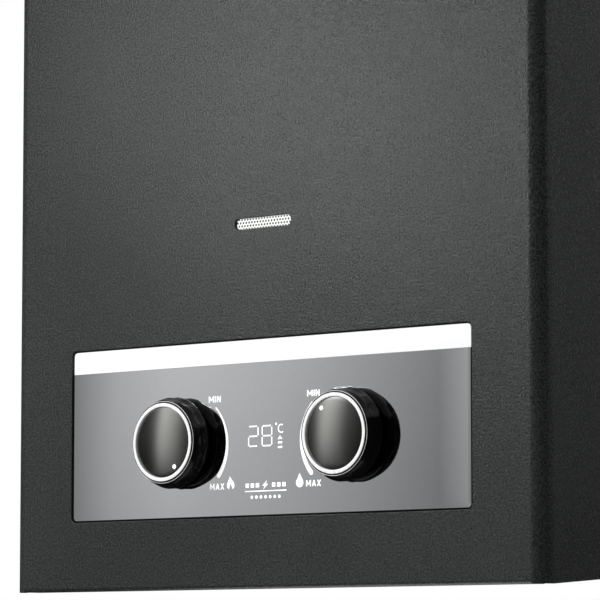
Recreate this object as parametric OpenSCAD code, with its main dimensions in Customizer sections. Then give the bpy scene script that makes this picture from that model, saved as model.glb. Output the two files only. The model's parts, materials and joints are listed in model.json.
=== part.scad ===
// Wall-hung portable gas water heater.
// Origin: middle of the two hanger holes, on the wall face. +X right, +Y into the wall, +Z up.
// Heights in this file are measured from the lower rim of the case, and depths from the wall face;
// hung() then moves each piece to the origin above.

/* [Case] */
// Width of the case
case_w = 300; // [290:1:340]
// Height of the case, lower rim to top edge
case_h = 440; // [430:1:480]
// Depth of the case, wall face to front face
case_d = 150; // [145:1:175]
// Thickness of the case sheet
sheet = 1; // [0.8:0.1:1.5]
// Outer radius of the upright folds
fold_r = 7.0; // [5:0.5:12]
// Width of the turned-in lips
lip_w = 10; // [6:1:14]
// Rise of the side walls' lower edge, towards the wall
rim_angle = 4; // [0:0.5:6]
// Height of the bottom plate above the rim
skirt_h = 35; // [30:1:38]
// Clearance of sheets that slide over each other
slide_gap = 0.3; // [0.2:0.1:0.6]

/* [Back plate] */
// Thickness of the back plate
back_t = 1.2; // [1:0.1:2]
// Depth of the side flanges of the back plate
flange_d = 14; // [11:1:18]
// Height of the lower edge of the back plate
back_low = 12; // [11:1:16]
// Width of the hanger tab
tab_w = 180; // [150:1:220]
// Height of the hanger tab above the case
tab_h = 30; // [24:1:40]
// Radius of the hanger holes
hanger_hole_r = 4; // [3:0.25:5]
// Distance between the hanger holes
hanger_pitch = 120; // [80:1:130]
// Radius of the lower fixing holes
fixing_hole_r = 2.75; // [2:0.25:3.5]
// Distance between the lower fixing holes
fixing_pitch = 200; // [120:1:220]
// Height of the lower fixing holes
fixing_z = 22; // [19:1:26]

/* [Cover screws] */
// Radius of the screw shank
screw_r = 2; // [1.5:0.1:2.4]
// Radius of the screw head
screw_head_r = 4; // [3:0.25:5]
// Height of the screw head
screw_head_h = 2; // [1.5:0.25:3]
// Length of the screw shank
screw_l = 7; // [6:0.5:9]
// Height of the lower pair of screws
screw_low_z = 62; // [50:1:90]
// Height of the upper pair of screws
screw_high_z = 390; // [340:1:400]

/* [Control plate] */
// Width of the mirror plate
plate_w = 226; // [216:1:240]
// Height of the mirror plate
plate_h = 76.3; // [72:0.1:80]
// Height of the lower edge of the mirror plate
plate_z = 31.6; // [29:0.1:34]
// Thickness of the mirror plate
plate_t = 2.5; // [2:0.1:3]
// Depth of the mirror plate behind the front face
plate_recess = 0.8; // [0.4:0.1:1]
// Gap round the mirror plate
plate_gap = 0.7; // [0.4:0.1:1.2]
// Corner radius of the plate opening
plate_r = 2.5; // [1.5:0.5:4]
// Height of the bright strip along the top
strip_h = 10; // [7:0.5:13]
// Thickness of the bright strip
strip_t = 0.5; // [0.3:0.1:0.8]
// Thickness of the carrier behind the plate
carrier_t = 2; // [1.5:0.1:3]
// Width of the carrier's rim round the plate
carrier_rim = 3; // [2:0.5:5]

/* [Knobs] */
// Distance of each knob from the middle
knob_x = 48.7; // [46:0.1:52]
// Height of the knobs
knob_z = 64.4; // [62:0.1:67]
// Largest radius of a knob
knob_r = 20.3; // [18:0.1:22]
// Height of the knob's front face above the plate
knob_h = 10.3; // [9:0.1:13]
// Gap between knob and plate
knob_gap = 0.6; // [0.3:0.1:1]
// Radius of the knob's front face
knob_face_r = 18.3; // [18.2:0.1:19]
// Number of finger dimples
dimple_count = 12; // [8:1:18]
// Depth of the finger dimples
dimple_depth = 1.1; // [0.4:0.1:1.5]
// Outer radius of the chrome ring
ring_r = 17.9; // [17:0.1:18]
// Inner radius of the chrome ring
ring_in_r = 15.6; // [14.5:0.1:16]
// Height of the chrome ring on the knob face
ring_h = 1.5; // [1:0.1:2]
// Gap between chrome ring and cap disc
cap_gap = 0.1; // [0.05:0.05:0.3]
// Thickness of the cap disc
cap_t = 1.1; // [0.8:0.1:1.5]
// Radius of the white mark
mark_r = 1; // [0.6:0.1:1.4]
// Distance of the mark from the knob axis
mark_at = 12.9; // [11:0.1:13]
// Turn of the mark above or below the level
mark_angle = 57.7; // [45:0.1:65]
// Radius of the spindles
spindle_r = 3; // [2.5:0.1:4]
// Depth of the flat on a spindle
spindle_flat = 0.8; // [0.5:0.1:1.2]
// Running clearance of the spindles
run_gap = 0.05; // [0.02:0.01:0.09]

/* [Display and viewing slot] */
// Width of the display module
display_w = 30; // [26:1:34]
// Height of the display module
display_h = 22; // [18:1:26]
// Depth of the display module
display_d = 8; // [6:0.5:12]
// Width of the display window
display_win_w = 24; // [20:1:25]
// Height of the display window
display_win_h = 14; // [12:1:16]
// Height of the viewing slot's middle
view_z = 158.6; // [156:0.1:161]
// Length of the viewing slot
slot_w = 32.1; // [26:0.1:34]
// Height of the viewing slot
slot_h = 4.8; // [3.5:0.1:6]
// Thickness of the perforated strip
mesh_t = 0.5; // [0.3:0.1:0.8]
// Margin of the perforated strip round the slot
mesh_margin = 2.5; // [1.5:0.5:4]
// Radius of the perforations
perf_r = 0.42; // [0.3:0.02:0.5]
// Distance between perforations in a row
perf_pitch = 1.6; // [1.4:0.1:2.5]
// Number of rows of perforations
perf_rows = 4; // [2:1:4]

/* [Gas and water valves] */
// Radius of the gas valve barrel
gas_barrel_r = 17; // [15:0.5:18]
// Radius of the water valve barrel
water_barrel_r = 15; // [13:0.5:17]
// Distance from the front face back to the valve barrels
valve_setback = 18; // [16:0.5:22]
// Distance from the wall to the rear of the valve barrels
valve_rear = 60; // [56:1:64]
// Distance from the wall to the pipe ports
port_d = 75; // [73:1:78]
// Radius of the valve bosses over the ports
boss_r = 14; // [13:0.5:15]
// Radius of the safety solenoid
solenoid_r = 13; // [10:0.5:15]
// Length of the safety solenoid
solenoid_l = 32; // [25:1:36]
// Radius of the diaphragm housing
diaphragm_r = 26; // [23:0.5:27]
// Thickness of the diaphragm
diaphragm_t = 2; // [1.5:0.1:3]
// Thickness of each half of the diaphragm housing
housing_t = 12; // [10:0.5:13]
// Radius of the push rod
push_rod_r = 2; // [1.5:0.1:2.5]
// Travel of the push rod
push_travel = 3; // [2:0.5:4]
// Radius of the collar on the push rod
collar_r = 7; // [6:0.5:8]
// Radius of the microswitch button
button_r = 1.5; // [1:0.1:1.8]

/* [Fittings] */
// Radius of the water threads
water_thread_r = 10.48; // [9:0.01:10.5]
// Radius of the gas thread
gas_thread_r = 8.33; // [7:0.01:9.5]
// Length of the threads
thread_l = 16; // [12:1:18]
// Distance across the flats of the hexagons
hex_af = 27; // [24:0.5:29]
// Height of the hexagons
hex_h = 12; // [9:1:12]
// Radius of the fitting necks
neck_r = 10; // [9:0.25:10.5]
// Radius of the fitting bores
fitting_bore_r = 6; // [4:0.25:6.5]
// Gap between necks and their plate holes
neck_gap = 0.5; // [0.3:0.1:1]
// Distance from the side wall to the hot outlet
hot_side = 27; // [24:1:29]
// Radius of the drain plug's head
drain_head_r = 9; // [7:0.5:10]
// Height of the drain plug's head
drain_head_h = 12; // [8:1:15]
// Radius of the drain plug's shank
drain_r = 5; // [4:0.25:5.5]

/* [Burner] */
// Height of the burner tray's lower edge
tray_z = 126; // [124:1:128]
// Height of the burner tray
tray_h = 26; // [25:1:27]
// Thickness of tray and combustion chamber sheet
hot_sheet = 0.8; // [0.6:0.1:1.2]
// Width of one burner bar
bar_w = 11; // [8:0.5:12]
// Distance between burner bars
bar_pitch = 18; // [16:0.5:22]
// Number of burner bars
bar_count = 10; // [7:1:10]
// Height of a burner bar
bar_h = 22; // [18:1:23]
// Width of the flame slot in a burner bar
flame_slot = 3; // [2:0.5:5]
// Radius of the gas manifold
manifold_r = 7; // [6:0.5:8]
// Radius of the gas nozzles
nozzle_r = 2.5; // [2:0.1:3]
// Length of the gas nozzles
nozzle_l = 7.5; // [6:0.5:9]
// Radius of the electrodes' ceramic
ceramic_r = 3; // [2:0.25:3.5]
// Distance of the electrodes from the middle
electrode_x = 34; // [30:1:40]

/* [Heat exchanger and flue] */
// Width of the combustion chamber
chamber_w = 190; // [186:1:196]
// Depth of the combustion chamber
chamber_d = 92; // [88:1:94]
// Height of the combustion chamber
chamber_h = 183; // [180:1:190]
// Space between the chamber and the back plate
back_space = 15; // [14:0.5:17]
// Corner radius of the combustion chamber
chamber_r = 6; // [4:0.5:9]
// Radius of the copper pipe
pipe_r = 6; // [5:0.25:6.25]
// Wall of the copper pipe
pipe_wall = 1; // [0.8:0.1:1.5]
// Gap between the pipe and the chamber
pipe_gap = 0.3; // [0.2:0.1:0.6]
// Radius of the pipe's bends
bend_r = 9; // [8:0.5:9.5]
// Height of the first turn of pipe
turn_low_z = 195; // [185:1:200]
// Height of the second turn of pipe
turn_high_z = 240; // [230:1:250]
// Height of the finned tubes
fin_z = 313; // [308:1:316]
// Height of the fins
fin_h = 26; // [22:1:30]
// Thickness of a fin
fin_t = 0.6; // [0.4:0.1:1]
// Distance between fins
fin_pitch = 9; // [7:0.5:12]
// Distance between finned tubes
row_pitch = 22; // [20:0.5:23]
// Width of the flue neck
flue_w = 160; // [130:1:164]
// Depth of the flue neck
flue_d = 50; // [36:1:54]
// Length of the straight flue neck below the top
neck_l = 38; // [30:1:44]
// Height of the rain cap above the top plate
cap_clear = 16; // [12:1:18]
// Width of the rain cap
rain_w = 190; // [186:1:196]
// Depth of the rain cap
rain_d = 84; // [80:1:88]
// Radius of the rain cap's posts
post_r = 3; // [2:0.25:4]

/* [Carry handle] */
// Distance of each handle arm from the middle
arm_x = 115; // [112:1:118]
// Thickness of a handle arm
arm_t = 4; // [3:0.5:5]
// Width of a handle arm
arm_w = 12; // [10:1:13]
// Reach of the handle, pivot to grip
handle_reach = 66; // [60:1:68]
// Height of the handle's pivot above the top plate
pivot_h = 9; // [9:0.5:11]
// Radius of the handle's pivot pins
pin_r = 3; // [2.5:0.1:3.5]
// Thickness of a bracket ear
ear_t = 3; // [2:0.5:4]
// Gap between a handle arm and the ears beside it
ear_gap = 1; // [0.5:0.1:1.5]
// Radius of the steel bar in the grip
bar_r = 4; // [3:0.25:5]
// Radius of the grip
grip_r = 8.5; // [7:0.1:8.7]
// Length of the grip
grip_l = 150; // [120:1:180]

/* [Battery box] */
// Width of the battery box
box_w = 40; // [38:1:42]
// Length of the battery box
box_l = 74; // [72:1:78]
// Height of the battery box
box_h = 66; // [65:0.5:67]
// Wall of the battery box
box_wall = 1.5; // [1:0.1:2]
// Radius of a battery
cell_r = 16.4; // [15.5:0.1:16.6]
// Length of a battery
cell_l = 61.5; // [60:0.1:62]
// Thickness of the battery door
door_t = 2; // [1.5:0.1:2.5]
// Radius of the door's hinge barrel
barrel_r = 3; // [2.5:0.1:3.5]
// Radius of the door's hinge pin
door_pin_r = 1.5; // [1:0.1:1.8]

/* [Igniter] */
// Width of the igniter module
igniter_w = 30; // [26:1:31]
// Depth of the igniter module
igniter_d = 42; // [34:1:48]
// Height of the igniter module
igniter_h = 72; // [60:1:76]
// Height of the igniter module's lower face
igniter_z = 214; // [208:1:218]
// Radius of the ignition lead
lead_r = 1.5; // [1.2:0.1:2]

/* [Hidden] */
$fn = 64;
eps = 0.01;
cut = 1;
seat_gap = 0.3;
front_y = -case_d;
cover_back_y = -back_t;
side_in = case_w / 2 - sheet;
flange_x = side_in - slide_gap;
deck_half = flange_x - back_t - slide_gap;
top_z = case_h - sheet;
deck_z = skirt_h + sheet;
deck_lip_h = 10;
hanger_z = case_h + tab_h / 2;
screw_y = -back_t - flange_d / 2;

plate_y = front_y + plate_recess;
plate_back = plate_y + plate_t;
strip_z = plate_z + plate_h - strip_h;
carrier_back = plate_back + carrier_t;
deck_front_y = carrier_back + slide_gap;
knob_y = plate_y - knob_gap;
knob_face_y = plate_y - knob_h;
display_z = knob_z + 1.4;

valve_front_y = front_y + valve_setback;
valve_rear_y = -valve_rear;
port_y = -port_d;
gland_l = 6;
gland_r = 8;
spindle_in = 30;
spindle_end = knob_face_y + 1.3;
housing_x = knob_x - water_barrel_r - housing_t + 1;
cover_x = housing_x - diaphragm_t - housing_t;
rod_x1 = housing_x - diaphragm_t - seat_gap;
rod_disc_t = 2.5;
diaphragm_seat_w = 6;
rod_disc_r = diaphragm_r - 2 * diaphragm_seat_w;
rod_in = 9;
collar_t = 2;
collar_x = -9;
button_z = knob_z + 4.8;
button_l = 9;
switch_l = 14;
switch_top = knob_z + 15;
switch_x = collar_x - seat_gap - push_travel - 2;
pad_x = switch_x - switch_l;

hex_r = hex_af / 2 / cos(30);
neck_in = 8;
drain_y = port_y - boss_r - drain_head_r - 14;
drain_boss_r = drain_r + 3;

chamber_back_y = -back_t - back_space;
chamber_front_y = chamber_back_y - chamber_d;
chamber_y = (chamber_back_y + chamber_front_y) / 2;
chamber_z = tray_z + tray_h;
chamber_top = chamber_z + chamber_h;
nozzle_z = tray_z + 8;
manifold_y = chamber_front_y - nozzle_l - manifold_r + 1;
manifold_l = bar_pitch * (bar_count - 1) + 2 * manifold_r + 4;
joint_z = tray_z - 14;
flange_t = 4;
window_h = 8;
window_w = 34;
mica_margin = 3;
mica_t = 0.6;
electrode_z = chamber_z + 8;
wire_r = 0.9;
wire_reach = 22;

pipe_in_r = pipe_r - pipe_wall;
pipe_off = pipe_r + pipe_gap;
wrap_x = chamber_w / 2 + pipe_off;
wrap_front = chamber_front_y - pipe_off;
wrap_back = chamber_back_y + pipe_off;
bend_x = chamber_w / 2 + 11;
exit_x = chamber_w / 2 + 17;
hot_x = side_in - hot_side;
row_y = [for (i = [0 : 3]) chamber_y + (i - 1.5) * row_pitch];
feed_z = 110;
cold_top_z = feed_z + 10;
hot_turn_z = 118;
hot_start_z = 46;
water_boss_z = 96;

cold_path = [
    [knob_x, port_y, water_boss_z],
    [knob_x, port_y, feed_z],
    [wrap_x, port_y, feed_z],
    [wrap_x, port_y, cold_top_z]
];
exchanger_path = [
    [wrap_x, port_y, cold_top_z],
    [wrap_x, port_y, turn_low_z],
    [wrap_x, wrap_back, turn_low_z],
    [-wrap_x, wrap_back, turn_low_z],
    [-wrap_x, wrap_front, turn_low_z],
    [wrap_x, wrap_front, turn_low_z],
    [wrap_x, wrap_front, turn_high_z],
    [wrap_x, wrap_back, turn_high_z],
    [-bend_x, wrap_back, turn_high_z],
    [-bend_x, wrap_front, turn_high_z],
    [-bend_x, wrap_front, fin_z],
    [-bend_x, row_y[0], fin_z],
    [bend_x, row_y[0], fin_z],
    [bend_x, row_y[1], fin_z],
    [-bend_x, row_y[1], fin_z],
    [-bend_x, row_y[2], fin_z],
    [bend_x, row_y[2], fin_z],
    [bend_x, row_y[3], fin_z],
    [-exit_x, row_y[3], fin_z]
];
hot_path = [
    [-exit_x, row_y[3], fin_z],
    [-hot_x, row_y[3], fin_z],
    [-hot_x, row_y[3], hot_turn_z],
    [-hot_x, port_y, hot_turn_z],
    [-hot_x, port_y, hot_start_z]
];

collector_z = chamber_top;
flue_top = top_z + 2;
neck_z = top_z - neck_l;
neck_wall = 1;
rain_t = 1.2;
post_x = rain_w / 2 - 10;
post_dy = rain_d / 2 - 6;
pivot_z = top_z + pivot_h;
grip_y = chamber_y - handle_reach;
bracket_base = 2;
bracket_half = arm_t / 2 + ear_gap + ear_t;
bracket_d = 18;

box_x1 = deck_half - 1;
box_x0 = box_x1 - box_w;
box_x = (box_x0 + box_x1) / 2;
cell_y = cell_r + 0.8;
contact_half = cell_r / 2;
cell_z = skirt_h + 0.8;
nub_h = 1.5;
hinge_x = box_x0 - 5;
hinge_z = skirt_h - barrel_r - seat_gap;
door_x1 = box_x1 + 0.5;
door_l = box_l + 6;
knuckle_l = 8;
knuckle_gap = 0.5;
igniter_x0 = deck_half - 1 - igniter_w;
lead_x = igniter_x0 + igniter_w / 2;
lead_turn_z = 176;
lead_front_y = chamber_front_y - 28;
ceramic_back = 20;
lead_path = [
    [lead_x, -25, igniter_z],
    [lead_x, -25, lead_turn_z],
    [lead_x, lead_front_y, lead_turn_z - 8],
    [lead_x - 16, lead_front_y - 2, electrode_z + 4],
    [electrode_x + 12, lead_front_y - 2, electrode_z],
    [electrode_x, lead_front_y - 2, electrode_z],
    [electrode_x, chamber_front_y - ceramic_back - seat_gap, electrode_z]
];

coat = [0.24, 0.25, 0.25];
steel = [0.72, 0.73, 0.74];
brass = [0.78, 0.62, 0.32];
copper = [0.78, 0.45, 0.30];
gloss_black = [0.05, 0.05, 0.05];
chrome = [0.9, 0.9, 0.92];
plastic = [0.12, 0.12, 0.13];
white = [0.95, 0.95, 0.95];

// ---------- shared shapes ----------

module hung() { translate([0, 0, -hanger_z]) children(); }

// Upright bar, and bars along X and Y, each from one coordinate to another
module bar_z(x, y, z0, z1, r) { translate([x, y, z0]) cylinder(r = r, h = z1 - z0); }
module bar_y(x, z, y0, y1, r) { translate([x, y0, z]) rotate([-90, 0, 0]) cylinder(r = r, h = y1 - y0); }
module bar_x(y, z, x0, x1, r) { translate([x0, y, z]) rotate([0, 90, 0]) cylinder(r = r, h = x1 - x0); }

// Box between two corners
module block(a, b) { translate(a) cube(b - a); }

module round_rect(w, h, r) {
    translate([-w / 2 + r, -h / 2]) square([w - 2 * r, h]);
    translate([-w / 2, -h / 2 + r]) square([w, h - 2 * r]);
    for (x = [-1, 1], y = [-1, 1]) translate([x * (w / 2 - r), y * (h / 2 - r)]) circle(r);
}

// Flat plate with round corners, upright and parallel to the front face
module front_slab(w, h, r, x, z, y0, y1) {
    translate([x, y1, z]) rotate([90, 0, 0]) linear_extrude(y1 - y0) round_rect(w, h, r);
}

function unit(v) = v / norm(v);

// Corners of a route turned into bends of a given reach
function bent(path, reach) = [
    path[0],
    for (i = [1 : len(path) - 2]) let (
        p = path[i],
        a = p + reach * unit(path[i - 1] - p),
        b = p + reach * unit(path[i + 1] - p)
    ) each [a, (a + 2 * p + b) / 4, b],
    path[len(path) - 1]
];

// Eight-sided cable swept along a route
module cable(path, r) {
    sides = 8;
    n = len(path);
    rings = [for (i = [0 : n - 1]) let (
        ahead = path[min(i + 1, n - 1)] - path[max(i - 1, 0)],
        u = unit(cross(ahead, [0.3, 0.5, 1])),
        v = unit(cross(ahead, u))
    ) for (k = [0 : sides - 1]) path[i] + r * (cos(k * 360 / sides) * u + sin(k * 360 / sides) * v)];
    walls = [for (i = [0 : n - 2], k = [0 : sides - 1]) let (j = (k + 1) % sides)
        each [[i * sides + k, i * sides + j, (i + 1) * sides + k],
            [i * sides + j, (i + 1) * sides + j, (i + 1) * sides + k]]];
    ends = [[for (k = [sides - 1 : -1 : 0]) k], [for (k = [0 : sides - 1]) (n - 1) * sides + k]];
    polyhedron(rings, concat(walls, ends));
}

module pipe_section() {
    difference() {
        circle(pipe_r);
        circle(pipe_r - pipe_wall);
    }
}

// Moves a piece so that its X, Y and Z point along u, v and w
module turned(at, u, v, w) {
    multmatrix([[u[0], v[0], w[0], at[0]], [u[1], v[1], w[1], at[1]], [u[2], v[2], w[2], at[2]]]) children();
}

// Copper pipe along a route of square corners, each a round bend
module copper_tube(path) {
    last = len(path) - 1;
    for (i = [0 : last - 1]) {
        w = unit(path[i + 1] - path[i]);
        u = [w[1], w[2], w[0]];
        head = i == 0 ? 0 : bend_r;
        tail = i == last - 1 ? 0 : bend_r;
        turned(path[i] + head * w, u, cross(w, u), w)
            linear_extrude(norm(path[i + 1] - path[i]) - head - tail) pipe_section();
    }
    for (i = [1 : last - 1]) {
        a = unit(path[i - 1] - path[i]);
        b = unit(path[i + 1] - path[i]);
        turned(path[i] + bend_r * (a + b), -a, -b, cross(a, b))
            rotate_extrude(angle = 90) translate([bend_r, 0]) pipe_section();
    }
}

// Outline of the case seen from above, moved in by a distance, open towards the wall
module case_outline(inset, back) {
    half = case_w / 2 - inset;
    r = fold_r - inset;
    y = front_y + inset;
    translate([-half, y + r]) square([2 * half, back - y - r]);
    translate([-half + r, y]) square([2 * (half - r), r]);
    for (s = [-1, 1]) translate([s * (half - r), y + r]) circle(r);
}

// ---------- case ----------

module front_cover() {
    lip_half = case_w / 2 - lip_w;
    color(coat) hung() difference() {
        union() {
            linear_extrude(case_h) difference() {
                case_outline(0, cover_back_y);
                case_outline(sheet, cut);
            }
            translate([-case_w / 2 + fold_r, front_y + sheet / 2, 0])
                cube([case_w - 2 * fold_r, lip_w - sheet / 2, sheet]);
            translate([0, 0, top_z]) linear_extrude(sheet) difference() {
                case_outline(sheet / 2, cover_back_y);
                translate([-lip_half, front_y + lip_w]) square([2 * lip_half, case_d]);
            }
        }
        front_slab(plate_w + 2 * plate_gap, plate_h + 2 * plate_gap, plate_r,
            0, plate_z + plate_h / 2, front_y - cut, front_y + sheet + cut);
        front_slab(slot_w, slot_h, slot_h / 2 - eps, 0, view_z, front_y - cut, front_y + sheet + cut);
        for (s = [-1, 1]) translate([s * case_w / 2, front_y + fold_r, 0]) rotate([rim_angle, 0, 0])
            translate([-2 * sheet, 0, -case_d]) cube([4 * sheet, 2 * case_d, case_d]);
        for (s = [-1, 1], z = [screw_low_z, screw_high_z])
            bar_x(screw_y, z, s * case_w / 2 - 2 * sheet, s * case_w / 2 + 2 * sheet, screw_r + slide_gap);
    }
}

module back_plate() {
    color(steel) hung() difference() {
        union() {
            block([-flange_x, -back_t, back_low], [flange_x, 0, top_z - sheet]);
            block([-tab_w / 2, -back_t, top_z - 2 * sheet], [tab_w / 2, 0, case_h + tab_h]);
            for (s = [-1, 1]) translate([s * (flange_x - back_t / 2), -back_t - flange_d, deck_z])
                translate([-back_t / 2, 0, 0]) cube([back_t, flange_d + back_t / 2, top_z - sheet - deck_z]);
        }
        for (s = [-1, 1]) {
            bar_y(s * hanger_pitch / 2, hanger_z, -back_t - cut, cut, hanger_hole_r);
            bar_y(s * fixing_pitch / 2, fixing_z, -back_t - cut, cut, fixing_hole_r);
            for (z = [screw_low_z, screw_high_z])
                translate([s * flange_x, 0, 0])
                    bar_x(screw_y, z, -2 * back_t, 2 * back_t, screw_r + slide_gap / 3);
        }
    }
}

module bottom_plate() {
    door_open_w = box_w - 2 * box_wall;
    door_open_l = box_l - 2 * box_wall;
    color(steel) hung() difference() {
        union() {
            block([-deck_half, deck_front_y, skirt_h], [deck_half, -back_t, deck_z]);
            block([-deck_half, -back_t - sheet, skirt_h], [deck_half, -back_t, deck_z + deck_lip_h]);
        }
        bar_z(-knob_x, port_y, skirt_h - cut, deck_z + cut, neck_r + neck_gap);
        bar_z(knob_x, port_y, skirt_h - cut, deck_z + cut, neck_r + neck_gap);
        bar_z(-hot_x, port_y, skirt_h - cut, deck_z + cut, neck_r + neck_gap);
        bar_z(knob_x, drain_y, skirt_h - cut, deck_z + cut, drain_r + neck_gap);
        block([box_x - door_open_w / 2, port_y - door_open_l / 2, skirt_h - cut],
            [box_x + door_open_w / 2, port_y + door_open_l / 2, deck_z + cut]);
    }
}

module top_plate() {
    color(coat) hung() difference() {
        block([-deck_half, front_y + sheet + slide_gap, top_z - sheet], [deck_half, -back_t, top_z]);
        for (s = [-1, 1]) block([s * case_w / 2 - fold_r, front_y, top_z - 2 * sheet],
            [s * case_w / 2 + fold_r, front_y + fold_r, top_z + sheet]);
        block([-flue_w / 2 - slide_gap, chamber_y - flue_d / 2 - slide_gap, top_z - 2 * sheet],
            [flue_w / 2 + slide_gap, chamber_y + flue_d / 2 + slide_gap, top_z + sheet]);
    }
}

module rain_cap() {
    cap_z = top_z + cap_clear;
    color(coat) hung() {
        translate([-rain_w / 2, chamber_y - rain_d / 2, cap_z]) cube([rain_w, rain_d, rain_t]);
        for (x = [-1, 1], y = [-1, 1])
            bar_z(x * post_x, chamber_y + y * post_dy, top_z, cap_z + rain_t / 2, post_r);
    }
}

module cover_screws() {
    color(steel) hung() for (s = [-1, 1], z = [screw_low_z, screw_high_z])
        translate([s * case_w / 2, screw_y, z]) rotate([0, s * 90, 0]) difference() {
            union() {
                cylinder(r = screw_head_r, h = screw_head_h);
                translate([0, 0, -screw_l]) cylinder(r = screw_r, h = screw_l + screw_head_h / 2);
            }
            for (a = [0, 90]) rotate(a) translate([-screw_head_r * 0.6, -0.4, screw_head_h / 2])
                cube([screw_head_r * 1.2, 0.8, screw_head_h]);
        }
}

// ---------- carry handle ----------

module handle_brackets() {
    color(steel) hung() for (s = [-1, 1]) difference() {
        union() {
            translate([s * arm_x - bracket_half, chamber_y - bracket_d / 2, top_z])
                cube([2 * bracket_half, bracket_d, bracket_base]);
            for (e = [-1, 1])
                translate([s * arm_x + e * (bracket_half - ear_t / 2), chamber_y - bracket_d / 2, top_z])
                    translate([-ear_t / 2, 0, 0]) cube([ear_t, bracket_d, pivot_h + arm_w / 2]);
        }
        bar_x(chamber_y, pivot_z, s * arm_x - 2 * bracket_half, s * arm_x + 2 * bracket_half, pin_r);
    }
}

module handle_pins() {
    color(steel) hung() for (s = [-1, 1])
        bar_x(chamber_y, pivot_z, s * arm_x - bracket_half - 1, s * arm_x + bracket_half + 1, pin_r);
}

module carry_handle() {
    color(steel) hung() difference() {
        union() {
            for (s = [-1, 1]) {
                bar_x(chamber_y, pivot_z, s * arm_x - arm_t / 2, s * arm_x + arm_t / 2, arm_w / 2);
                bar_x(grip_y, pivot_z, s * arm_x - arm_t / 2, s * arm_x + arm_t / 2, arm_w / 2);
                translate([s * arm_x - arm_t / 2, grip_y, pivot_z - arm_w / 2])
                    cube([arm_t, handle_reach, arm_w]);
            }
            bar_x(grip_y, pivot_z, -arm_x, arm_x, bar_r);
        }
        bar_x(chamber_y, pivot_z, -arm_x - arm_t, arm_x + arm_t, pin_r + run_gap);
    }
}

module handle_grip() {
    color(plastic) hung() difference() {
        bar_x(grip_y, pivot_z, -grip_l / 2, grip_l / 2, grip_r);
        bar_x(grip_y, pivot_z, -grip_l, grip_l, bar_r + eps);
    }
}

// ---------- control panel ----------

module plate_carrier() {
    w = plate_w + 2 * plate_gap;
    h = plate_h + 2 * plate_gap;
    z = plate_z + plate_h / 2;
    color(plastic) hung() difference() {
        front_slab(w + 2 * carrier_rim, h + 2 * carrier_rim, plate_r, 0, z, front_y + sheet, carrier_back);
        front_slab(w, h, plate_r, 0, z, front_y, plate_back);
        for (s = [-1, 1]) bar_y(s * knob_x, knob_z, plate_back - cut, carrier_back + cut, spindle_r + 2);
        front_slab(display_win_w, display_win_h, 1, 0, display_z, plate_back - cut, carrier_back + cut);
    }
}

// The band along the plate's top that the bright strip lies in
module strip_zone() {
    block([-plate_w, plate_y - cut, strip_z], [plate_w, plate_y + strip_t, strip_z + 2 * strip_h]);
}

module control_plate() {
    color(steel) hung() difference() {
        front_slab(plate_w, plate_h, plate_r - plate_gap, 0, plate_z + plate_h / 2, plate_y, plate_back);
        strip_zone();
        for (s = [-1, 1]) bar_y(s * knob_x, knob_z, plate_y - cut, plate_back + cut, spindle_r + 1);
    }
}

module trim_strip() {
    color(white) hung() intersection() {
        front_slab(plate_w, plate_h, plate_r - plate_gap, 0, plate_z + plate_h / 2, plate_y, plate_back);
        strip_zone();
    }
}

module display_module() {
    face_w = display_win_w - 2 * slide_gap;
    face_h = display_win_h - 2 * slide_gap;
    color(plastic) hung() union() {
        translate([-display_w / 2, carrier_back, display_z - display_h / 2])
            cube([display_w, display_d, display_h]);
        block([-face_w / 2, plate_back + seat_gap, display_z - face_h / 2],
            [face_w / 2, carrier_back + 1, display_z + face_h / 2]);
    }
}

module viewing_mesh() {
    row_z = slot_h / perf_rows;
    per_row = floor((slot_w - slot_h) / perf_pitch);
    color(steel) hung() difference() {
        front_slab(slot_w + 2 * mesh_margin, slot_h + 2 * mesh_margin, 1, 0, view_z,
            front_y + sheet, front_y + sheet + mesh_t);
        for (j = [0 : perf_rows - 1], i = [0 : per_row - 1])
            translate([(i - per_row / 2 + 0.25 + 0.5 * (j % 2)) * perf_pitch, 0, view_z - slot_h / 2])
                bar_y(0, (j + 0.5) * row_z, front_y, front_y + sheet + mesh_t + cut, perf_r);
    }
}

// ---------- knobs ----------

// Puts a piece drawn round +Z, standing on the plate, at a knob
module at_knob(s) { translate([s * knob_x, plate_y, knob_z]) rotate([90, 0, 0]) children(); }

// Round outline with a flat, as on a D-shaped spindle
module flatted(r) {
    intersection() {
        circle(r);
        translate([-2 * r, -2 * r]) square([4 * r, 3 * r - spindle_flat]);
    }
}

module knob_body(s) {
    ball_r = 5;
    flank_z = knob_h * 0.62;
    flank_r = knob_r - 0.35 * (knob_r - knob_face_r);
    color(gloss_black) hung() at_knob(s) difference() {
        rotate_extrude() polygon([
            [0, knob_gap], [knob_r - 3.1, knob_gap], [knob_r - 0.9, knob_h * 0.22],
            [knob_r, knob_h * 0.42], [knob_face_r, knob_h], [0, knob_h]
        ]);
        translate([0, 0, knob_gap - cut]) linear_extrude(knob_h - 1 - knob_gap + cut)
            flatted(spindle_r + run_gap);
        for (i = [0 : dimple_count - 1]) rotate(i * 360 / dimple_count)
            translate([flank_r - dimple_depth + ball_r, 0, flank_z]) sphere(ball_r);
    }
}

module knob_ring(s) {
    color(chrome) hung() at_knob(s) rotate_extrude() polygon([
        [ring_in_r, knob_h], [ring_r, knob_h], [ring_r, knob_h + ring_h * 0.5],
        [ring_r - 0.6, knob_h + ring_h], [ring_in_r + 0.5, knob_h + ring_h],
        [ring_in_r, knob_h + ring_h * 0.6]
    ]);
}

module knob_cap(s) {
    color(gloss_black) hung() at_knob(s) difference() {
        translate([0, 0, knob_h]) cylinder(r = ring_in_r - cap_gap, h = cap_t);
        mark_place(s) translate([0, 0, knob_h + cap_t / 2]) cylinder(r = mark_r + eps, h = cap_t);
    }
}

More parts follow.
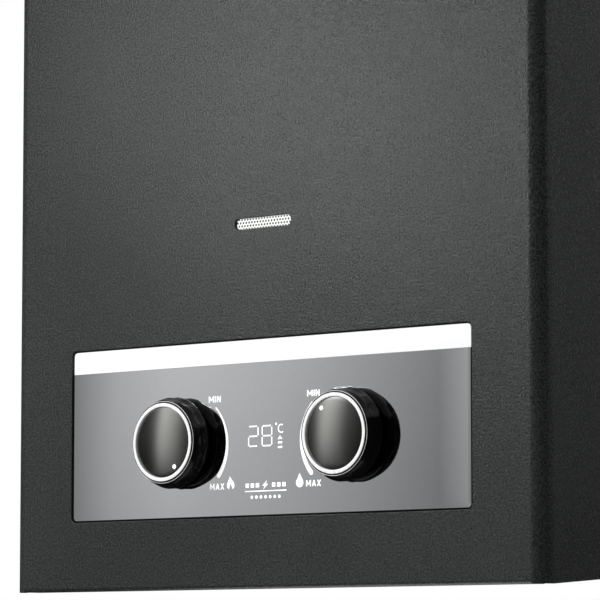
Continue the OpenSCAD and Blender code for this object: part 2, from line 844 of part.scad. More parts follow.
// The gas knob's mark points down to the right, the water knob's up to the left
module mark_place(s) {
    rotate(s < 0 ? -mark_angle : 180 - mark_angle) translate([mark_at, 0, 0]) children();
}

module knob_mark(s) {
    color(white) hung() at_knob(s) mark_place(s)
        translate([0, 0, knob_h + cap_t / 2]) cylinder(r = mark_r, h = cap_t / 2);
}

module spindle(s) {
    x = s * knob_x;
    flat_z = knob_z + spindle_r - spindle_flat;
    color(brass) hung() difference() {
        bar_y(x, knob_z, spindle_end, valve_front_y + spindle_in, spindle_r);
        block([x - knob_r, spindle_end - cut, flat_z], [x + knob_r, knob_y + cut, knob_z + knob_r]);
    }
}

module gas_knob() { knob_body(-1); }
module gas_knob_ring() { knob_ring(-1); }
module gas_knob_cap() { knob_cap(-1); }
module gas_knob_mark() { knob_mark(-1); }
module gas_spindle() { spindle(-1); }
module water_knob() { knob_body(1); }
module water_knob_ring() { knob_ring(1); }
module water_knob_cap() { knob_cap(1); }
module water_knob_mark() { knob_mark(1); }
module water_spindle() { spindle(1); }

// ---------- gas way ----------

// Barrel along Y with the spindle's gland, shared by both valves
module valve_barrel(x, r) {
    bar_y(x, knob_z, valve_front_y, valve_rear_y, r);
    bar_y(x, knob_z, valve_front_y - gland_l, valve_front_y + cut, gland_r);
    bar_z(x, port_y, deck_z, knob_z, boss_r);
}

module valve_bores(x) {
    bar_y(x, knob_z, carrier_back, valve_front_y + spindle_in + cut, spindle_r + run_gap);
    bar_z(x, port_y, deck_z - cut, deck_z + neck_in, neck_r + run_gap);
}

module gas_valve() {
    color(brass) hung() difference() {
        union() {
            valve_barrel(-knob_x, gas_barrel_r);
            bar_z(-knob_x, manifold_y, knob_z, joint_z, manifold_r + 1);
            bar_z(-knob_x, manifold_y, joint_z - flange_t, joint_z, manifold_r + 5);
            block([-knob_x, port_y - 7, knob_z + 5], [pad_x, port_y + 7, switch_top]);
        }
        valve_bores(-knob_x);
        bar_x(port_y, knob_z, -knob_x + gas_barrel_r - rod_in - push_travel - 1, pad_x + 2 * gas_barrel_r,
            push_rod_r + run_gap);
    }
}

module gas_solenoid() {
    color(steel) hung() union() {
        bar_y(-knob_x, knob_z, valve_rear_y, valve_rear_y + solenoid_l, solenoid_r);
        block([-knob_x - 4, valve_rear_y + solenoid_l - cut, knob_z - 3],
            [-knob_x + 4, valve_rear_y + solenoid_l + 5, knob_z + 3]);
    }
}

// Threaded fitting under the bottom plate: thread, hexagon, and neck up through the plate
module fitting(x, thread_r) {
    hex_z = skirt_h - hex_h;
    difference() {
        union() {
            bar_z(x, port_y, hex_z - thread_l, hex_z + cut, thread_r);
            translate([x, port_y, hex_z]) cylinder(r = hex_r, h = hex_h, $fn = 6);
            bar_z(x, port_y, skirt_h - cut, deck_z + neck_in - seat_gap, neck_r);
        }
        bar_z(x, port_y, hex_z - thread_l - cut, deck_z + neck_in + cut, fitting_bore_r);
    }
}

module gas_inlet() { color(brass) hung() fitting(-knob_x, gas_thread_r); }

module burner_manifold() {
    color(steel) hung() difference() {
        union() {
            bar_x(manifold_y, nozzle_z, -manifold_l / 2, manifold_l / 2, manifold_r);
            bar_z(-knob_x, manifold_y, joint_z, nozzle_z, manifold_r - 1);
            bar_z(-knob_x, manifold_y, joint_z, joint_z + flange_t, manifold_r + 5);
        }
        bar_x(manifold_y, nozzle_z, -manifold_l / 2 + 2, manifold_l / 2 - 2, manifold_r - 2);
        bar_z(-knob_x, manifold_y, joint_z - cut, nozzle_z, manifold_r - 3);
        for (x = bar_positions()) bar_y(x, nozzle_z, manifold_y, manifold_y + 2 * manifold_r, nozzle_r);
    }
}

function bar_positions() = [for (i = [0 : bar_count - 1]) (i - (bar_count - 1) / 2) * bar_pitch];

module gas_nozzles() {
    color(brass) hung() for (x = bar_positions()) difference() {
        bar_y(x, nozzle_z, manifold_y + manifold_r - 1.5, chamber_front_y + hot_sheet, nozzle_r);
        bar_y(x, nozzle_z, manifold_y, chamber_front_y + 2, 0.5);
    }
}

// ---------- burner ----------

module burner_tray() {
    inner_w = chamber_w - 2 * hot_sheet;
    foot_x = chamber_w / 4;
    color(steel) hung() difference() {
        union() {
            translate([-chamber_w / 2, chamber_front_y, tray_z]) cube([chamber_w, chamber_d, tray_h]);
            for (s = [-1, 1]) block([s * foot_x - 10, chamber_back_y - hot_sheet / 2, tray_z],
                [s * foot_x + 10, -back_t, tray_z + 2]);
        }
        block([-inner_w / 2, chamber_front_y + hot_sheet, tray_z - cut],
            [inner_w / 2, chamber_back_y - hot_sheet, tray_z + tray_h + cut]);
        for (x = bar_positions())
            bar_y(x, nozzle_z, chamber_front_y - cut, chamber_front_y + hot_sheet + cut, nozzle_r + 0.7);
    }
}

module burner_bars() {
    top = tray_z + tray_h - 2;
    y0 = chamber_front_y + hot_sheet;
    y1 = chamber_back_y - hot_sheet;
    color(steel) hung() for (x = bar_positions()) difference() {
        block([x - bar_w / 2, y0, top - bar_h], [x + bar_w / 2, y1, top]);
        block([x - bar_w / 2 + 1, y0 + 12, top - bar_h + 1], [x + bar_w / 2 - 1, y1 - 2, top - 2]);
        block([x - flame_slot / 2, y0 + 14, top - 3], [x + flame_slot / 2, y1 - 4, top + cut]);
        bar_y(x, nozzle_z, y0 - cut, y0 + 14, nozzle_r + 0.7);
    }
}

module electrodes() {
    color(white) hung() for (s = [-1, 1]) {
        bar_y(s * electrode_x, electrode_z, chamber_front_y - ceramic_back, chamber_front_y + 6, ceramic_r);
        bar_y(s * electrode_x, electrode_z, chamber_front_y + 5, chamber_front_y + wire_reach, wire_r);
        bar_y(s * electrode_x, electrode_z, chamber_front_y - 4, chamber_front_y, ceramic_r + 2);
    }
}

// ---------- heat exchanger and flue ----------

module combustion_chamber() {
    color(copper) hung() difference() {
        translate([0, chamber_y, chamber_z]) linear_extrude(chamber_h) difference() {
            round_rect(chamber_w, chamber_d, chamber_r);
            round_rect(chamber_w - 2 * hot_sheet, chamber_d - 2 * hot_sheet, chamber_r - hot_sheet);
        }
        block([-window_w / 2, chamber_front_y - cut, view_z - window_h / 2],
            [window_w / 2, chamber_front_y + 2 * hot_sheet, view_z + window_h / 2]);
        for (x = [-electrode_x, electrode_x])
            bar_y(x, electrode_z, chamber_front_y - cut, chamber_front_y + 2, ceramic_r + run_gap);
        for (y = row_y) bar_x(y, fin_z, -chamber_w, chamber_w, pipe_r + run_gap);
    }
}

module mica_window() {
    half = window_w / 2 + mica_margin;
    color([0.85, 0.75, 0.5, 0.6]) hung()
        block([-half, chamber_front_y - mica_t, view_z - window_h / 2 - mica_margin / 2],
            [half, chamber_front_y, view_z + window_h / 2 + mica_margin]);
}

module exchanger_fins() {
    fin_count = floor((chamber_w - 2 * hot_sheet - 2) / fin_pitch);
    depth = chamber_d - 2 * hot_sheet - 2 * slide_gap;
    color(copper) hung() difference() {
        for (i = [0 : fin_count - 1]) translate([(i - (fin_count - 1) / 2) * fin_pitch - fin_t / 2,
            chamber_y - depth / 2, fin_z - fin_h / 2]) cube([fin_t, depth, fin_h]);
        for (y = row_y) bar_x(y, fin_z, -chamber_w, chamber_w, pipe_r);
    }
}

module exchanger_pipe() { color(copper) hung() copper_tube(exchanger_path); }

// Tapered duct from the chamber's top up to the straight neck, less a given wall
module flue_shape(wall, over) {
    w0 = chamber_w - 2 * wall;
    d0 = chamber_d - 2 * wall;
    w1 = flue_w - 2 * wall;
    d1 = flue_d - 2 * wall;
    lift = wall > 0 ? cut : 0;
    hull() {
        translate([-w0 / 2, chamber_y - d0 / 2, collector_z - lift]) cube([w0, d0, 6 + lift]);
        block([-w1 / 2, chamber_y - d1 / 2, neck_z - 2], [w1 / 2, chamber_y + d1 / 2, neck_z]);
    }
    block([-w1 / 2, chamber_y - d1 / 2, neck_z - 1], [w1 / 2, chamber_y + d1 / 2, flue_top + over]);
}

module flue_collector() {
    color(steel) hung() difference() {
        flue_shape(0, 0);
        flue_shape(neck_wall, cut);
    }
}

module overheat_switch() {
    color(plastic) hung() union() {
        bar_x(chamber_y, (turn_high_z + fin_z) / 2, -chamber_w / 2 - 5, -chamber_w / 2, 8);
        for (s = [-1, 1]) block([-chamber_w / 2 - 11, chamber_y + s * 3 - 0.5, (turn_high_z + fin_z) / 2 - 3],
            [-chamber_w / 2 - 4, chamber_y + s * 3 + 0.5, (turn_high_z + fin_z) / 2 + 3]);
    }
}

// ---------- water way ----------

module water_valve() {
    color(brass) hung() difference() {
        union() {
            valve_barrel(knob_x, water_barrel_r);
            bar_z(knob_x, port_y, knob_z, water_boss_z, pipe_r + 3);
            bar_x(port_y, knob_z, housing_x, housing_x + housing_t, diaphragm_r);
            bar_z(knob_x, drain_y, deck_z, knob_z, drain_boss_r);
        }
        valve_bores(knob_x);
        bar_z(knob_x, port_y, knob_z, water_boss_z + cut, pipe_in_r);
        bar_z(knob_x, drain_y, deck_z - cut, deck_z + neck_in, drain_r + run_gap);
        bar_x(port_y, knob_z, housing_x - cut, housing_x + housing_t / 2, diaphragm_r - diaphragm_seat_w);
    }
}

module diaphragm() {
    color([0.15, 0.15, 0.15]) hung()
        bar_x(port_y, knob_z, housing_x - diaphragm_t, housing_x, diaphragm_r - 1);
}

module diaphragm_cover() {
    color(brass) hung() difference() {
        bar_x(port_y, knob_z, cover_x, cover_x + housing_t, diaphragm_r);
        bar_x(port_y, knob_z, cover_x + 4, cover_x + housing_t + cut, diaphragm_r - diaphragm_seat_w);
        bar_x(port_y, knob_z, cover_x - cut, cover_x + 5, push_rod_r + run_gap);
    }
}

module diaphragm_screws() {
    color(steel) hung() for (a = [30 : 60 : 330])
        translate([0, port_y + (diaphragm_r - 3.5) * cos(a), knob_z + (diaphragm_r - 3.5) * sin(a)])
            bar_x(0, 0, cover_x - 2.5, cover_x, 2.5);
}

module push_rod() {
    color(steel) hung() union() {
        bar_x(port_y, knob_z, -knob_x + gas_barrel_r - rod_in, rod_x1, push_rod_r);
        bar_x(port_y, knob_z, rod_x1 - rod_disc_t, rod_x1, rod_disc_r);
        bar_x(port_y, knob_z, collar_x, collar_x + collar_t, collar_r);
    }
}

module cold_inlet() { color(brass) hung() fitting(knob_x, water_thread_r); }

module inlet_filter() {
    z0 = skirt_h - hex_h - thread_l + 1;
    r = fitting_bore_r - run_gap;
    color(white) hung() difference() {
        bar_z(knob_x, port_y, z0, z0 + thread_l, r);
        bar_z(knob_x, port_y, z0 + 1.2, z0 + thread_l + cut, r - 1.2);
        for (x = [-3 : 2 : 3], y = [-3 : 2 : 3]) bar_z(knob_x + x, port_y + y, z0 - cut, z0 + 2, 0.6);
    }
}

module cold_pipe() { color(copper) hung() copper_tube(cold_path); }

module hot_pipe() { color(copper) hung() copper_tube(hot_path); }

module hot_outlet() {
    color(brass) hung() union() {
        fitting(-hot_x, water_thread_r);
        difference() {
            bar_z(-hot_x, port_y, deck_z, hot_start_z, neck_r + 3);
            bar_z(-hot_x, port_y, deck_z - cut, deck_z + neck_in, neck_r - 1);
            bar_z(-hot_x, port_y, deck_z, hot_start_z + cut, pipe_in_r);
        }
    }
}

module drain_plug() {
    color(brass) hung() union() {
        bar_z(knob_x, drain_y, skirt_h - drain_head_h, skirt_h, drain_head_r);
        bar_z(knob_x, drain_y, skirt_h - cut, deck_z + neck_in - seat_gap, drain_r);
    }
}

// ---------- switch, igniter and batteries ----------

module microswitch() {
    color(plastic) hung() difference() {
        block([pad_x, port_y - 5, knob_z + push_rod_r + 0.6], [switch_x, port_y + 5, switch_top]);
        bar_x(port_y, button_z, switch_x - button_l + 1, switch_x + cut, button_r + run_gap);
    }
}

module switch_button() {
    color([0.7, 0.1, 0.1]) hung() bar_x(port_y, button_z, collar_x - seat_gap - button_l + 1,
        collar_x - seat_gap, button_r);
}

module igniter_module() {
    color(plastic) hung() union() {
        translate([igniter_x0, -back_t - igniter_d, igniter_z + 3])
            cube([igniter_w, igniter_d, igniter_h - 3]);
        bar_z(lead_x, -25, igniter_z, igniter_z + 4, lead_r + 2);
    }
}

module ignition_lead() {
    color([0.7, 0.15, 0.1]) hung() cable(bent(lead_path, 5), lead_r);
}

module battery_box() {
    color(plastic) hung() difference() {
        block([box_x0, port_y - box_l / 2, deck_z], [box_x1, port_y + box_l / 2, deck_z + box_h]);
        block([box_x0 + box_wall, port_y - box_l / 2 + box_wall, deck_z - cut],
            [box_x1 - box_wall, port_y + box_l / 2 - box_wall, deck_z + box_h - box_wall]);
    }
}

module batteries() {
    color([0.35, 0.35, 0.4]) hung() for (s = [-1, 1]) {
        bar_z(box_x, port_y + s * cell_y, cell_z, cell_z + cell_l - nub_h, cell_r);
        bar_z(box_x, port_y + s * cell_y, cell_z + cell_l - nub_h - eps, cell_z + cell_l, 4.5);
    }
}

module battery_contacts() {
    roof = deck_z + box_h - box_wall;
    color(steel) hung() for (s = [-1, 1]) {
        block([box_x - contact_half, port_y + s * cell_y - contact_half, roof - 0.5],
            [box_x + contact_half, port_y + s * cell_y + contact_half, roof]);
        difference() {
            bar_z(box_x, port_y + s * cell_y, cell_z + cell_l + seat_gap, roof - 0.25, 4.5);
            bar_z(box_x, port_y + s * cell_y, cell_z, roof - 0.5, 3.5);
        }
    }
}

module battery_door() {
    half = door_l / 2 - knuckle_l - knuckle_gap;
    color(plastic) hung() difference() {
        union() {
            block([hinge_x + barrel_r + seat_gap, port_y - door_l / 2, skirt_h - door_t],
                [door_x1, port_y + door_l / 2, skirt_h]);
            bar_y(hinge_x, hinge_z, port_y - half, port_y + half, barrel_r);
            block([hinge_x, port_y - half, skirt_h - door_t],
                [hinge_x + 2 * barrel_r, port_y + half, skirt_h - seat_gap]);
        }
        bar_y(hinge_x, hinge_z, port_y - door_l, port_y + door_l, door_pin_r + run_gap);
    }
}

// The two fixed knuckles of the battery door's hinge, under the bottom plate
module door_hinge() {
    color(steel) hung() for (s = [-1, 1]) difference() {
        y = port_y + s * (door_l / 2 - knuckle_l / 2);
        union() {
            bar_y(hinge_x, hinge_z, y - knuckle_l / 2, y + knuckle_l / 2, barrel_r);
            translate([hinge_x - barrel_r, y - knuckle_l / 2, hinge_z])
                cube([barrel_r, knuckle_l, skirt_h - hinge_z]);
        }
        bar_y(hinge_x, hinge_z, y - knuckle_l, y + knuckle_l, door_pin_r);
    }
}

module door_pin() {
    color(steel) hung() bar_y(hinge_x, hinge_z, port_y - door_l / 2, port_y + door_l / 2, door_pin_r);
}

front_cover();
back_plate();
bottom_plate();
top_plate();
rain_cap();
cover_screws();
handle_brackets();
handle_pins();
carry_handle();
handle_grip();
plate_carrier();
control_plate();
trim_strip();
display_module();
viewing_mesh();
gas_knob();
gas_knob_ring();
gas_knob_cap();
gas_knob_mark();
gas_spindle();
water_knob();
water_knob_ring();
water_knob_cap();
water_knob_mark();
water_spindle();
gas_valve();
gas_solenoid();
gas_inlet();
burner_manifold();
gas_nozzles();
burner_tray();
burner_bars();
electrodes();
combustion_chamber();
mica_window();
exchanger_fins();
exchanger_pipe();
flue_collector();
overheat_switch();
water_valve();
diaphragm();
diaphragm_cover();
diaphragm_screws();
push_rod();
cold_inlet();
inlet_filter();
cold_pipe();
hot_pipe();
hot_outlet();
drain_plug();
microswitch();
switch_button();
igniter_module();
ignition_lead();
battery_box();
batteries();
battery_contacts();
battery_door();
door_hinge();
door_pin();
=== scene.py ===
"""Dresses the frame of a wall-hung portable gas water heater: case, controls, handle, fittings, finishes."""

import json
import math

import bpy
from bpy.props import FloatProperty, FloatVectorProperty, IntProperty, PointerProperty
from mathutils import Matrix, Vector


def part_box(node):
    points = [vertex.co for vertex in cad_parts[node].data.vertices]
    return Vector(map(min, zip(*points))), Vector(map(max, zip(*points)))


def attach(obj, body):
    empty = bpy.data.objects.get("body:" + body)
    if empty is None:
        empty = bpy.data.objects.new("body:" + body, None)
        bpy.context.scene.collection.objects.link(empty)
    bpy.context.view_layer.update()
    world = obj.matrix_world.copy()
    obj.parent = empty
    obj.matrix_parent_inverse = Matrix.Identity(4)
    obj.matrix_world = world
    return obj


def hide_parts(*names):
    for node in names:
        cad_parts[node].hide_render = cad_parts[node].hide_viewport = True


bl_info = {
    "name": "Portable Gas Water Heater",
    "version": (1, 0, 0),
    "blender": (4, 5, 0),
    "location": "View3D > Sidebar > Heater",
    "description": "Builds the case, controls, handle and fittings of a small gas water heater",
    "category": "Add Mesh",
}

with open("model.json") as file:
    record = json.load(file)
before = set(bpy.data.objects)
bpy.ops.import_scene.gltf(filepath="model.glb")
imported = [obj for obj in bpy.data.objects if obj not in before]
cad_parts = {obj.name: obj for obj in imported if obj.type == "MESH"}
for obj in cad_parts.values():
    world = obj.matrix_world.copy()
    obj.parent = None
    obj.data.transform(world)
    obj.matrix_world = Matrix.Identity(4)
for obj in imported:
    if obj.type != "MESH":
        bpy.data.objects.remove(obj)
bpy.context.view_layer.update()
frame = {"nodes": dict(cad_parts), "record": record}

MM = 0.001
TINY = 1e-5
DOUBLES = 1e-6
TURN = 2 * math.pi
MOSTLY = 0.9  # how far a face's normal has to point one way to count as facing it
NEARLY = 0.999  # share of a half height that rounds the ends of a slot, so that no edge closes up
REACH = 5 * MM  # how far a cutting block stands out on either side of a sheet
DRILL = 100 * MM  # length of a drill that passes through one piece
SCREW_HEAD = 4 * MM  # radius of a cover screw's head
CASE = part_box("front_cover")
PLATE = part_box("control_plate")
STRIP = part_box("trim_strip")
KNOBS = {"gas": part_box("gas_knob"), "water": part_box("water_knob")}


def metres(name, about, size):
    """A length property, given in metres."""
    return FloatProperty(name=name, description=about, default=size, min=0.0, unit="LENGTH", precision=5)


def tint(name, about, *rgb):
    """A colour property."""
    return FloatVectorProperty(name=name, description=about, default=rgb, size=len(rgb), subtype="COLOR",
                               min=0, max=1)


# ---------- settings ----------


class CaseSettings(bpy.types.PropertyGroup):
    """Sizes and colours of the case."""

    fold_radius: metres("Fold radius", "Radius of the upright folds of the case", 7.0 * MM)
    rim_fold: metres("Rim fold", "Radius of the turned-in lower edge", 1.7 * MM)
    sheet: metres("Sheet", "Thickness of the case sheet", 1.0 * MM)
    lip: metres("Lip", "Width of the turned-in lips", 10 * MM)
    opening_gap: metres("Opening gap", "Gap round the control plate", 0.7 * MM)
    opening_radius: metres("Opening radius", "Corner radius of the plate opening", 2.5 * MM)
    screw_hole: metres("Screw hole", "Radius of the holes for the cover screws", 2.3 * MM)
    slot_length: metres("Slot length", "Length of the viewing slot", 32.1 * MM)
    slot_height: metres("Slot height", "Height of the viewing slot", 4.8 * MM)
    strip_gap: metres("Strip gap", "Gap at the left end of the perforated strip", 1.3 * MM)
    hole_pitch: metres("Hole pitch", "Pitch of the strip's holes along it", 1.61 * MM)
    hole_row: metres("Hole rows", "Distance between the rows of the strip's holes", 1.4 * MM)
    hole_radius: metres("Hole radius", "Radius of a hole in the perforated strip", 0.54 * MM)
    slot_z: metres("Slot height above rim", "Middle of the viewing slot above the lower rim", 158.8 * MM)
    coat: tint("Coat", "Colour of the powder coat", 0.0336, 0.0366, 0.0350)
    # Painted shade: this darker colour follows the hollows of the fine grain and stands in for the shade of
    # the coat's relief; the slow cloudy share of the mask is random tone
    coat_grain_shade: tint("Coat grain shade", "Colour in the hollows of the powder coat", 0.0100, 0.0108, 0.0104)
    cloudiness: FloatProperty(name="Cloudiness", description="Share of slow changes in the coat's colour",
                              default=0.22, min=0.0, max=1.0)


class PanelSettings(bpy.types.PropertyGroup):
    """Sizes and colours of the control plate and its marks."""

    plate: tint("Plate", "Tint of the mirror plate", 0.475, 0.48, 0.49)
    strip: tint("Strip", "Colour of the bright strip", 0.93, 0.935, 0.94)
    ink: tint("Ink", "Colour of the printed marks", 0.93, 0.93, 0.93)
    corner: metres("Corner", "Corner radius of the plate and of the strip", 1.8 * MM)
    bow: metres("Bow", "How far the thin plate bows forward at its right end", 0.25 * MM)
    bow_width: metres("Bow width", "Width of the part that bows forward", 17 * MM)
    stroke: metres("Digit stroke", "Width of a stroke of the digits", 0.6 * MM)
    ink_height: metres("Ink height", "Thickness of the printed marks", 0.04 * MM)


class KnobSettings(bpy.types.PropertyGroup):
    """Sizes and colours of the knobs."""

    dimples: IntProperty(name="Dimples", description="Number of finger dimples round a knob", default=12,
                         min=4, max=24)
    dimple_depth: metres("Dimple depth", "Depth of a finger dimple", 0.7 * MM)
    dimple_width: metres("Dimple width", "Half width of a finger dimple round the knob", 3.4 * MM)
    dimple_length: metres("Dimple length", "Half length of a finger dimple along the knob", 2.8 * MM)
    dimple_rise: metres("Dimple rise", "Height of a dimple's middle above the plate", 6.2 * MM)
    dome: metres("Dome", "Rise of the cap disc's middle", 0.8 * MM)
    gloss: tint("Gloss black", "Colour of the knob body", 0.0045, 0.0045, 0.005)
    disc: tint("Disc black", "Colour of the cap disc's dark metal", 0.37, 0.37, 0.355)


class FittingSettings(bpy.types.PropertyGroup):
    """Threads and colours of the fittings and pipes."""

    water_pitch: metres("Water thread pitch", "Pitch of the water threads", 1.814 * MM)
    gas_pitch: metres("Gas thread pitch", "Pitch of the gas thread", 1.337 * MM)
    water_radius: metres("Water thread radius", "Outer radius of the water threads", 10.48 * MM)
    gas_radius: metres("Gas thread radius", "Outer radius of the gas thread", 8.33 * MM)
    brass: tint("Brass", "Colour of the machined brass", 0.72, 0.50, 0.22)
    copper: tint("Copper", "Colour of the copper pipe", 0.72, 0.35, 0.21)


class StageSettings(bpy.types.PropertyGroup):
    """Floor, camera and lights."""

    floor_z: FloatProperty(name="Floor height", description="Height of the studio floor", default=-0.60,
                           unit="LENGTH")
    floor: tint("Floor", "Colour of the studio floor", 0.80, 0.80, 0.79)
    floor_lift: FloatProperty(name="Floor lift", description="How much paler the floor looks than its light",
                              default=0.25)
    lens: FloatProperty(name="Lens", description="Focal length of the camera in millimetres", default=214.2)
    camera_at: FloatVectorProperty(name="Camera", description="Place of the camera",
                                   default=(1.0040, -1.3198, -0.4876), subtype="TRANSLATION")
    yaw: FloatProperty(name="Yaw", description="Turn of the camera round the upright",
                       default=math.radians(40.033), subtype="ANGLE")
    pitch: FloatProperty(name="Pitch", description="Upward tilt of the camera", default=math.radians(5.829),
                         subtype="ANGLE")
    key: FloatProperty(name="Key light", description="Power of the main lamp in watts", default=172.0)
    sheen: FloatProperty(name="Sheen light", description="Strength of the panel that the coat shines in",
                         default=8.6)
    fill: FloatProperty(name="Fill light", description="Strength of the light from all round", default=0.27)
    rim: FloatProperty(name="Rim light", description="Power of the panel beside the case in watts",
                       default=0.7)


SETTINGS = {
    "heater_case": CaseSettings, "heater_panel": PanelSettings, "heater_knob": KnobSettings,
    "heater_fitting": FittingSettings, "heater_stage": StageSettings,
}


# ---------- modelling tools ----------


def fresh():
    """Object mode, with nothing selected."""
    if bpy.context.mode != "OBJECT":
        bpy.ops.object.mode_set(mode="OBJECT")
    bpy.ops.object.select_all(action="DESELECT")


def activate(piece):
    """Selects one piece and makes it the active one."""
    fresh()
    piece.select_set(True)
    bpy.context.view_layer.objects.active = piece


def named(name):
    """Names the active piece and its mesh."""
    piece = bpy.context.object
    piece.name = piece.data.name = name
    return piece


def settle():
    """Puts the active piece's place into its mesh."""
    bpy.ops.object.transform_apply(location=True, rotation=True, scale=True)


def block(name, low, high):
    """A block between two corners, to be shaped further."""
    fresh()
    low, high = Vector(low), Vector(high)
    bpy.ops.mesh.primitive_cube_add(size=1, location=(low + high) / 2, scale=high - low)
    settle()
    return named(name)


def bar(name, middle, radius, length, axis="Z", sides=32):
    """A round bar along an axis, to be shaped further."""
    fresh()
    turn = {"X": (0, TURN / 4, 0), "Y": (TURN / 4, 0, 0), "Z": (0, 0, 0)}[axis]
    bpy.ops.mesh.primitive_cylinder_add(vertices=sides, radius=radius, depth=length, location=middle,
                                        rotation=turn)
    settle()
    return named(name)


def pick(piece, kind, test):
    """Selects the faces whose (middle, normal), or the edges whose (end, end), pass a test, in edit mode."""
    activate(piece)
    bpy.ops.object.mode_set(mode="EDIT")
    bpy.ops.mesh.select_mode(type=kind)
    bpy.ops.mesh.select_all(action="DESELECT")
    bpy.ops.object.mode_set(mode="OBJECT")
    mesh = piece.data
    if kind == "FACE":
        for face in mesh.polygons:
            face.select = bool(test(face.center, face.normal))
    else:
        for edge in mesh.edges:
            a, b = (mesh.vertices[i].co for i in edge.vertices)
            edge.select = bool(test(a, b))
    bpy.ops.object.mode_set(mode="EDIT")


def round_edges(piece, radius, segments, test):
    """Rounds the edges whose two ends pass a test."""
    pick(piece, "EDGE", test)
    bpy.ops.mesh.bevel(offset=radius, segments=segments, affect="EDGES")
    fresh()


def rounded_block(name, low, high, radius, segments, test):
    """A block between two corners, with the edges that pass a test rounded."""
    piece = block(name, low, high)
    round_edges(piece, radius, segments, test)
    return piece


def along(axis):
    """A test for edges that run along one axis."""
    def test(a, b):
        gaps = [abs(a[i] - b[i]) for i in range(3)]
        return gaps.pop(axis) > TINY and max(gaps) < TINY
    return test


def apply_all(piece):
    """Applies every modifier of a piece."""
    activate(piece)
    for name in [m.name for m in piece.modifiers]:
        bpy.ops.object.modifier_apply(modifier=name)


def thicken(piece, sheet):
    """Gives an open skin the thickness of its sheet, inwards."""
    modifier = piece.modifiers.new("Sheet", "SOLIDIFY")
    modifier.thickness, modifier.offset, modifier.use_even_offset = sheet, -1, True
    apply_all(piece)


def combine(piece, tool, operation="DIFFERENCE"):
    """Takes the tool's shape out of a piece, adds it, or keeps only what lies in it."""
    modifier = piece.modifiers.new("Combine", "BOOLEAN")
    modifier.operation, modifier.solver, modifier.object = operation, "EXACT", tool
    apply_all(piece)
    activate(tool)
    bpy.ops.object.delete()


def soften(piece, radius, segments=2, angle=30):
    """Breaks a piece's sharp edges."""
    modifier = piece.modifiers.new("Soft edges", "BEVEL")
    modifier.width, modifier.segments = radius, segments
    modifier.limit_method, modifier.angle_limit = "ANGLE", math.radians(angle)
    apply_all(piece)


def close_up(doubles=DOUBLES):
    """Merges the doubles of the mesh in edit mode and turns its faces outwards."""
    bpy.ops.mesh.select_all(action="SELECT")
    if doubles:
        bpy.ops.mesh.remove_doubles(threshold=doubles)
    bpy.ops.mesh.normals_make_consistent(inside=False)
    fresh()


def start_point(name, place, keep_origin=False):
    """A new mesh of one vertex, selected in edit mode."""
    fresh()
    bpy.ops.mesh.primitive_plane_add(size=1 * MM, location=place)
    if not keep_origin:
        settle()
    piece = named(name)
    bpy.ops.object.mode_set(mode="EDIT")
    bpy.ops.mesh.select_mode(type="VERT")
    bpy.ops.mesh.select_all(action="SELECT")
    bpy.ops.mesh.merge(type="CENTER")
    return piece


def draw_on(step):
    """Extrudes the selected vertex by a step."""
    bpy.ops.mesh.extrude_vertices_move(TRANSFORM_OT_translate={"value": step})


def lathe(name, profile, middle, axis, steps=64):
    """Turns a profile of (radius, height) points in millimetres round an axis through the middle."""
    middle, axis = Vector(middle), Vector(axis).normalized()
    out = Vector((0, 0, 1)) if abs(axis.z) < 0.5 else Vector((1, 0, 0))
    places = [middle + out * (r * MM) + axis * (h * MM) for r, h in profile]
    piece = start_point(name, places[0])
    for a, b in zip(places, places[1:]):
        draw_on(b - a)
    bpy.ops.mesh.select_all(action="SELECT")
    bpy.ops.mesh.spin(steps=steps, angle=TURN, center=middle, axis=axis)
    close_up()
    return piece


def smooth_profile(points, per_span=4):
    """The same profile with rounded spans between its points."""
    out = []
    for i in range(len(points) - 1):
        p0, p1, p2, p3 = (Vector(points[min(max(i + k, 0), len(points) - 1)]) for k in (-1, 0, 1, 2))
        for j in range(per_span):
            t = j / per_span
            out.append(tuple(0.5 * ((2 * p1) + (p2 - p0) * t + (2 * p0 - 5 * p1 + 4 * p2 - p3) * t * t
                                    + (3 * p1 - p0 - 3 * p2 + p3) * t ** 3)))
    return out + [tuple(points[-1])]


def join(name, *pieces):
    """Makes one object of several."""
    fresh()
    for piece in pieces:
        piece.select_set(True)
    bpy.context.view_layer.objects.active = pieces[0]
    if len(pieces) > 1:
        bpy.ops.object.join()
    return named(name)


def copied(piece, name, move):
    """A moved copy of a piece, with its own mesh."""
    activate(piece)
    bpy.ops.object.duplicate(linked=False)
    bpy.ops.transform.translate(value=move)
    settle()
    return named(name)


def mirrored(piece, name):
    """A copy of a piece on the other side of the middle, with its own mesh."""
    activate(piece)
    bpy.ops.object.duplicate(linked=False)
    bpy.context.object.scale.x = -1
    settle()
    bpy.ops.object.mode_set(mode="EDIT")
    close_up(doubles=0)
    return named(name)


def flat_shape(name, outline, y, thickness):
    """A thin raised shape on the upright plane at y, from an outline of (x, z) points."""
    fresh()
    bpy.ops.mesh.primitive_circle_add(vertices=len(outline), fill_type="NGON")
    piece = named(name)
    for vertex, (x, z) in zip(piece.data.vertices, outline):
        vertex.co = (x, y, z)
    bpy.ops.object.mode_set(mode="EDIT")
    bpy.ops.mesh.select_all(action="SELECT")
    bpy.ops.mesh.extrude_region_move(TRANSFORM_OT_translate={"value": (0, -thickness, 0)})
    close_up(doubles=0)
    return piece


def dress(piece, look, body, slot, *nodes, angle=35):
    """Smooths a finished piece, gives it its finish, and sets it on its body in place of its nodes."""
    activate(piece)
    bpy.ops.object.shade_smooth_by_angle(angle=math.radians(angle))
    modifier = piece.modifiers.new("Even normals", "WEIGHTED_NORMAL")
    modifier.keep_sharp = True
    apply_all(piece)
    piece.data.materials.clear()
    piece.data.materials.append(finish_for(look))
    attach(piece, body)
    if nodes:
        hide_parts(*nodes)


# ---------- finishes ----------


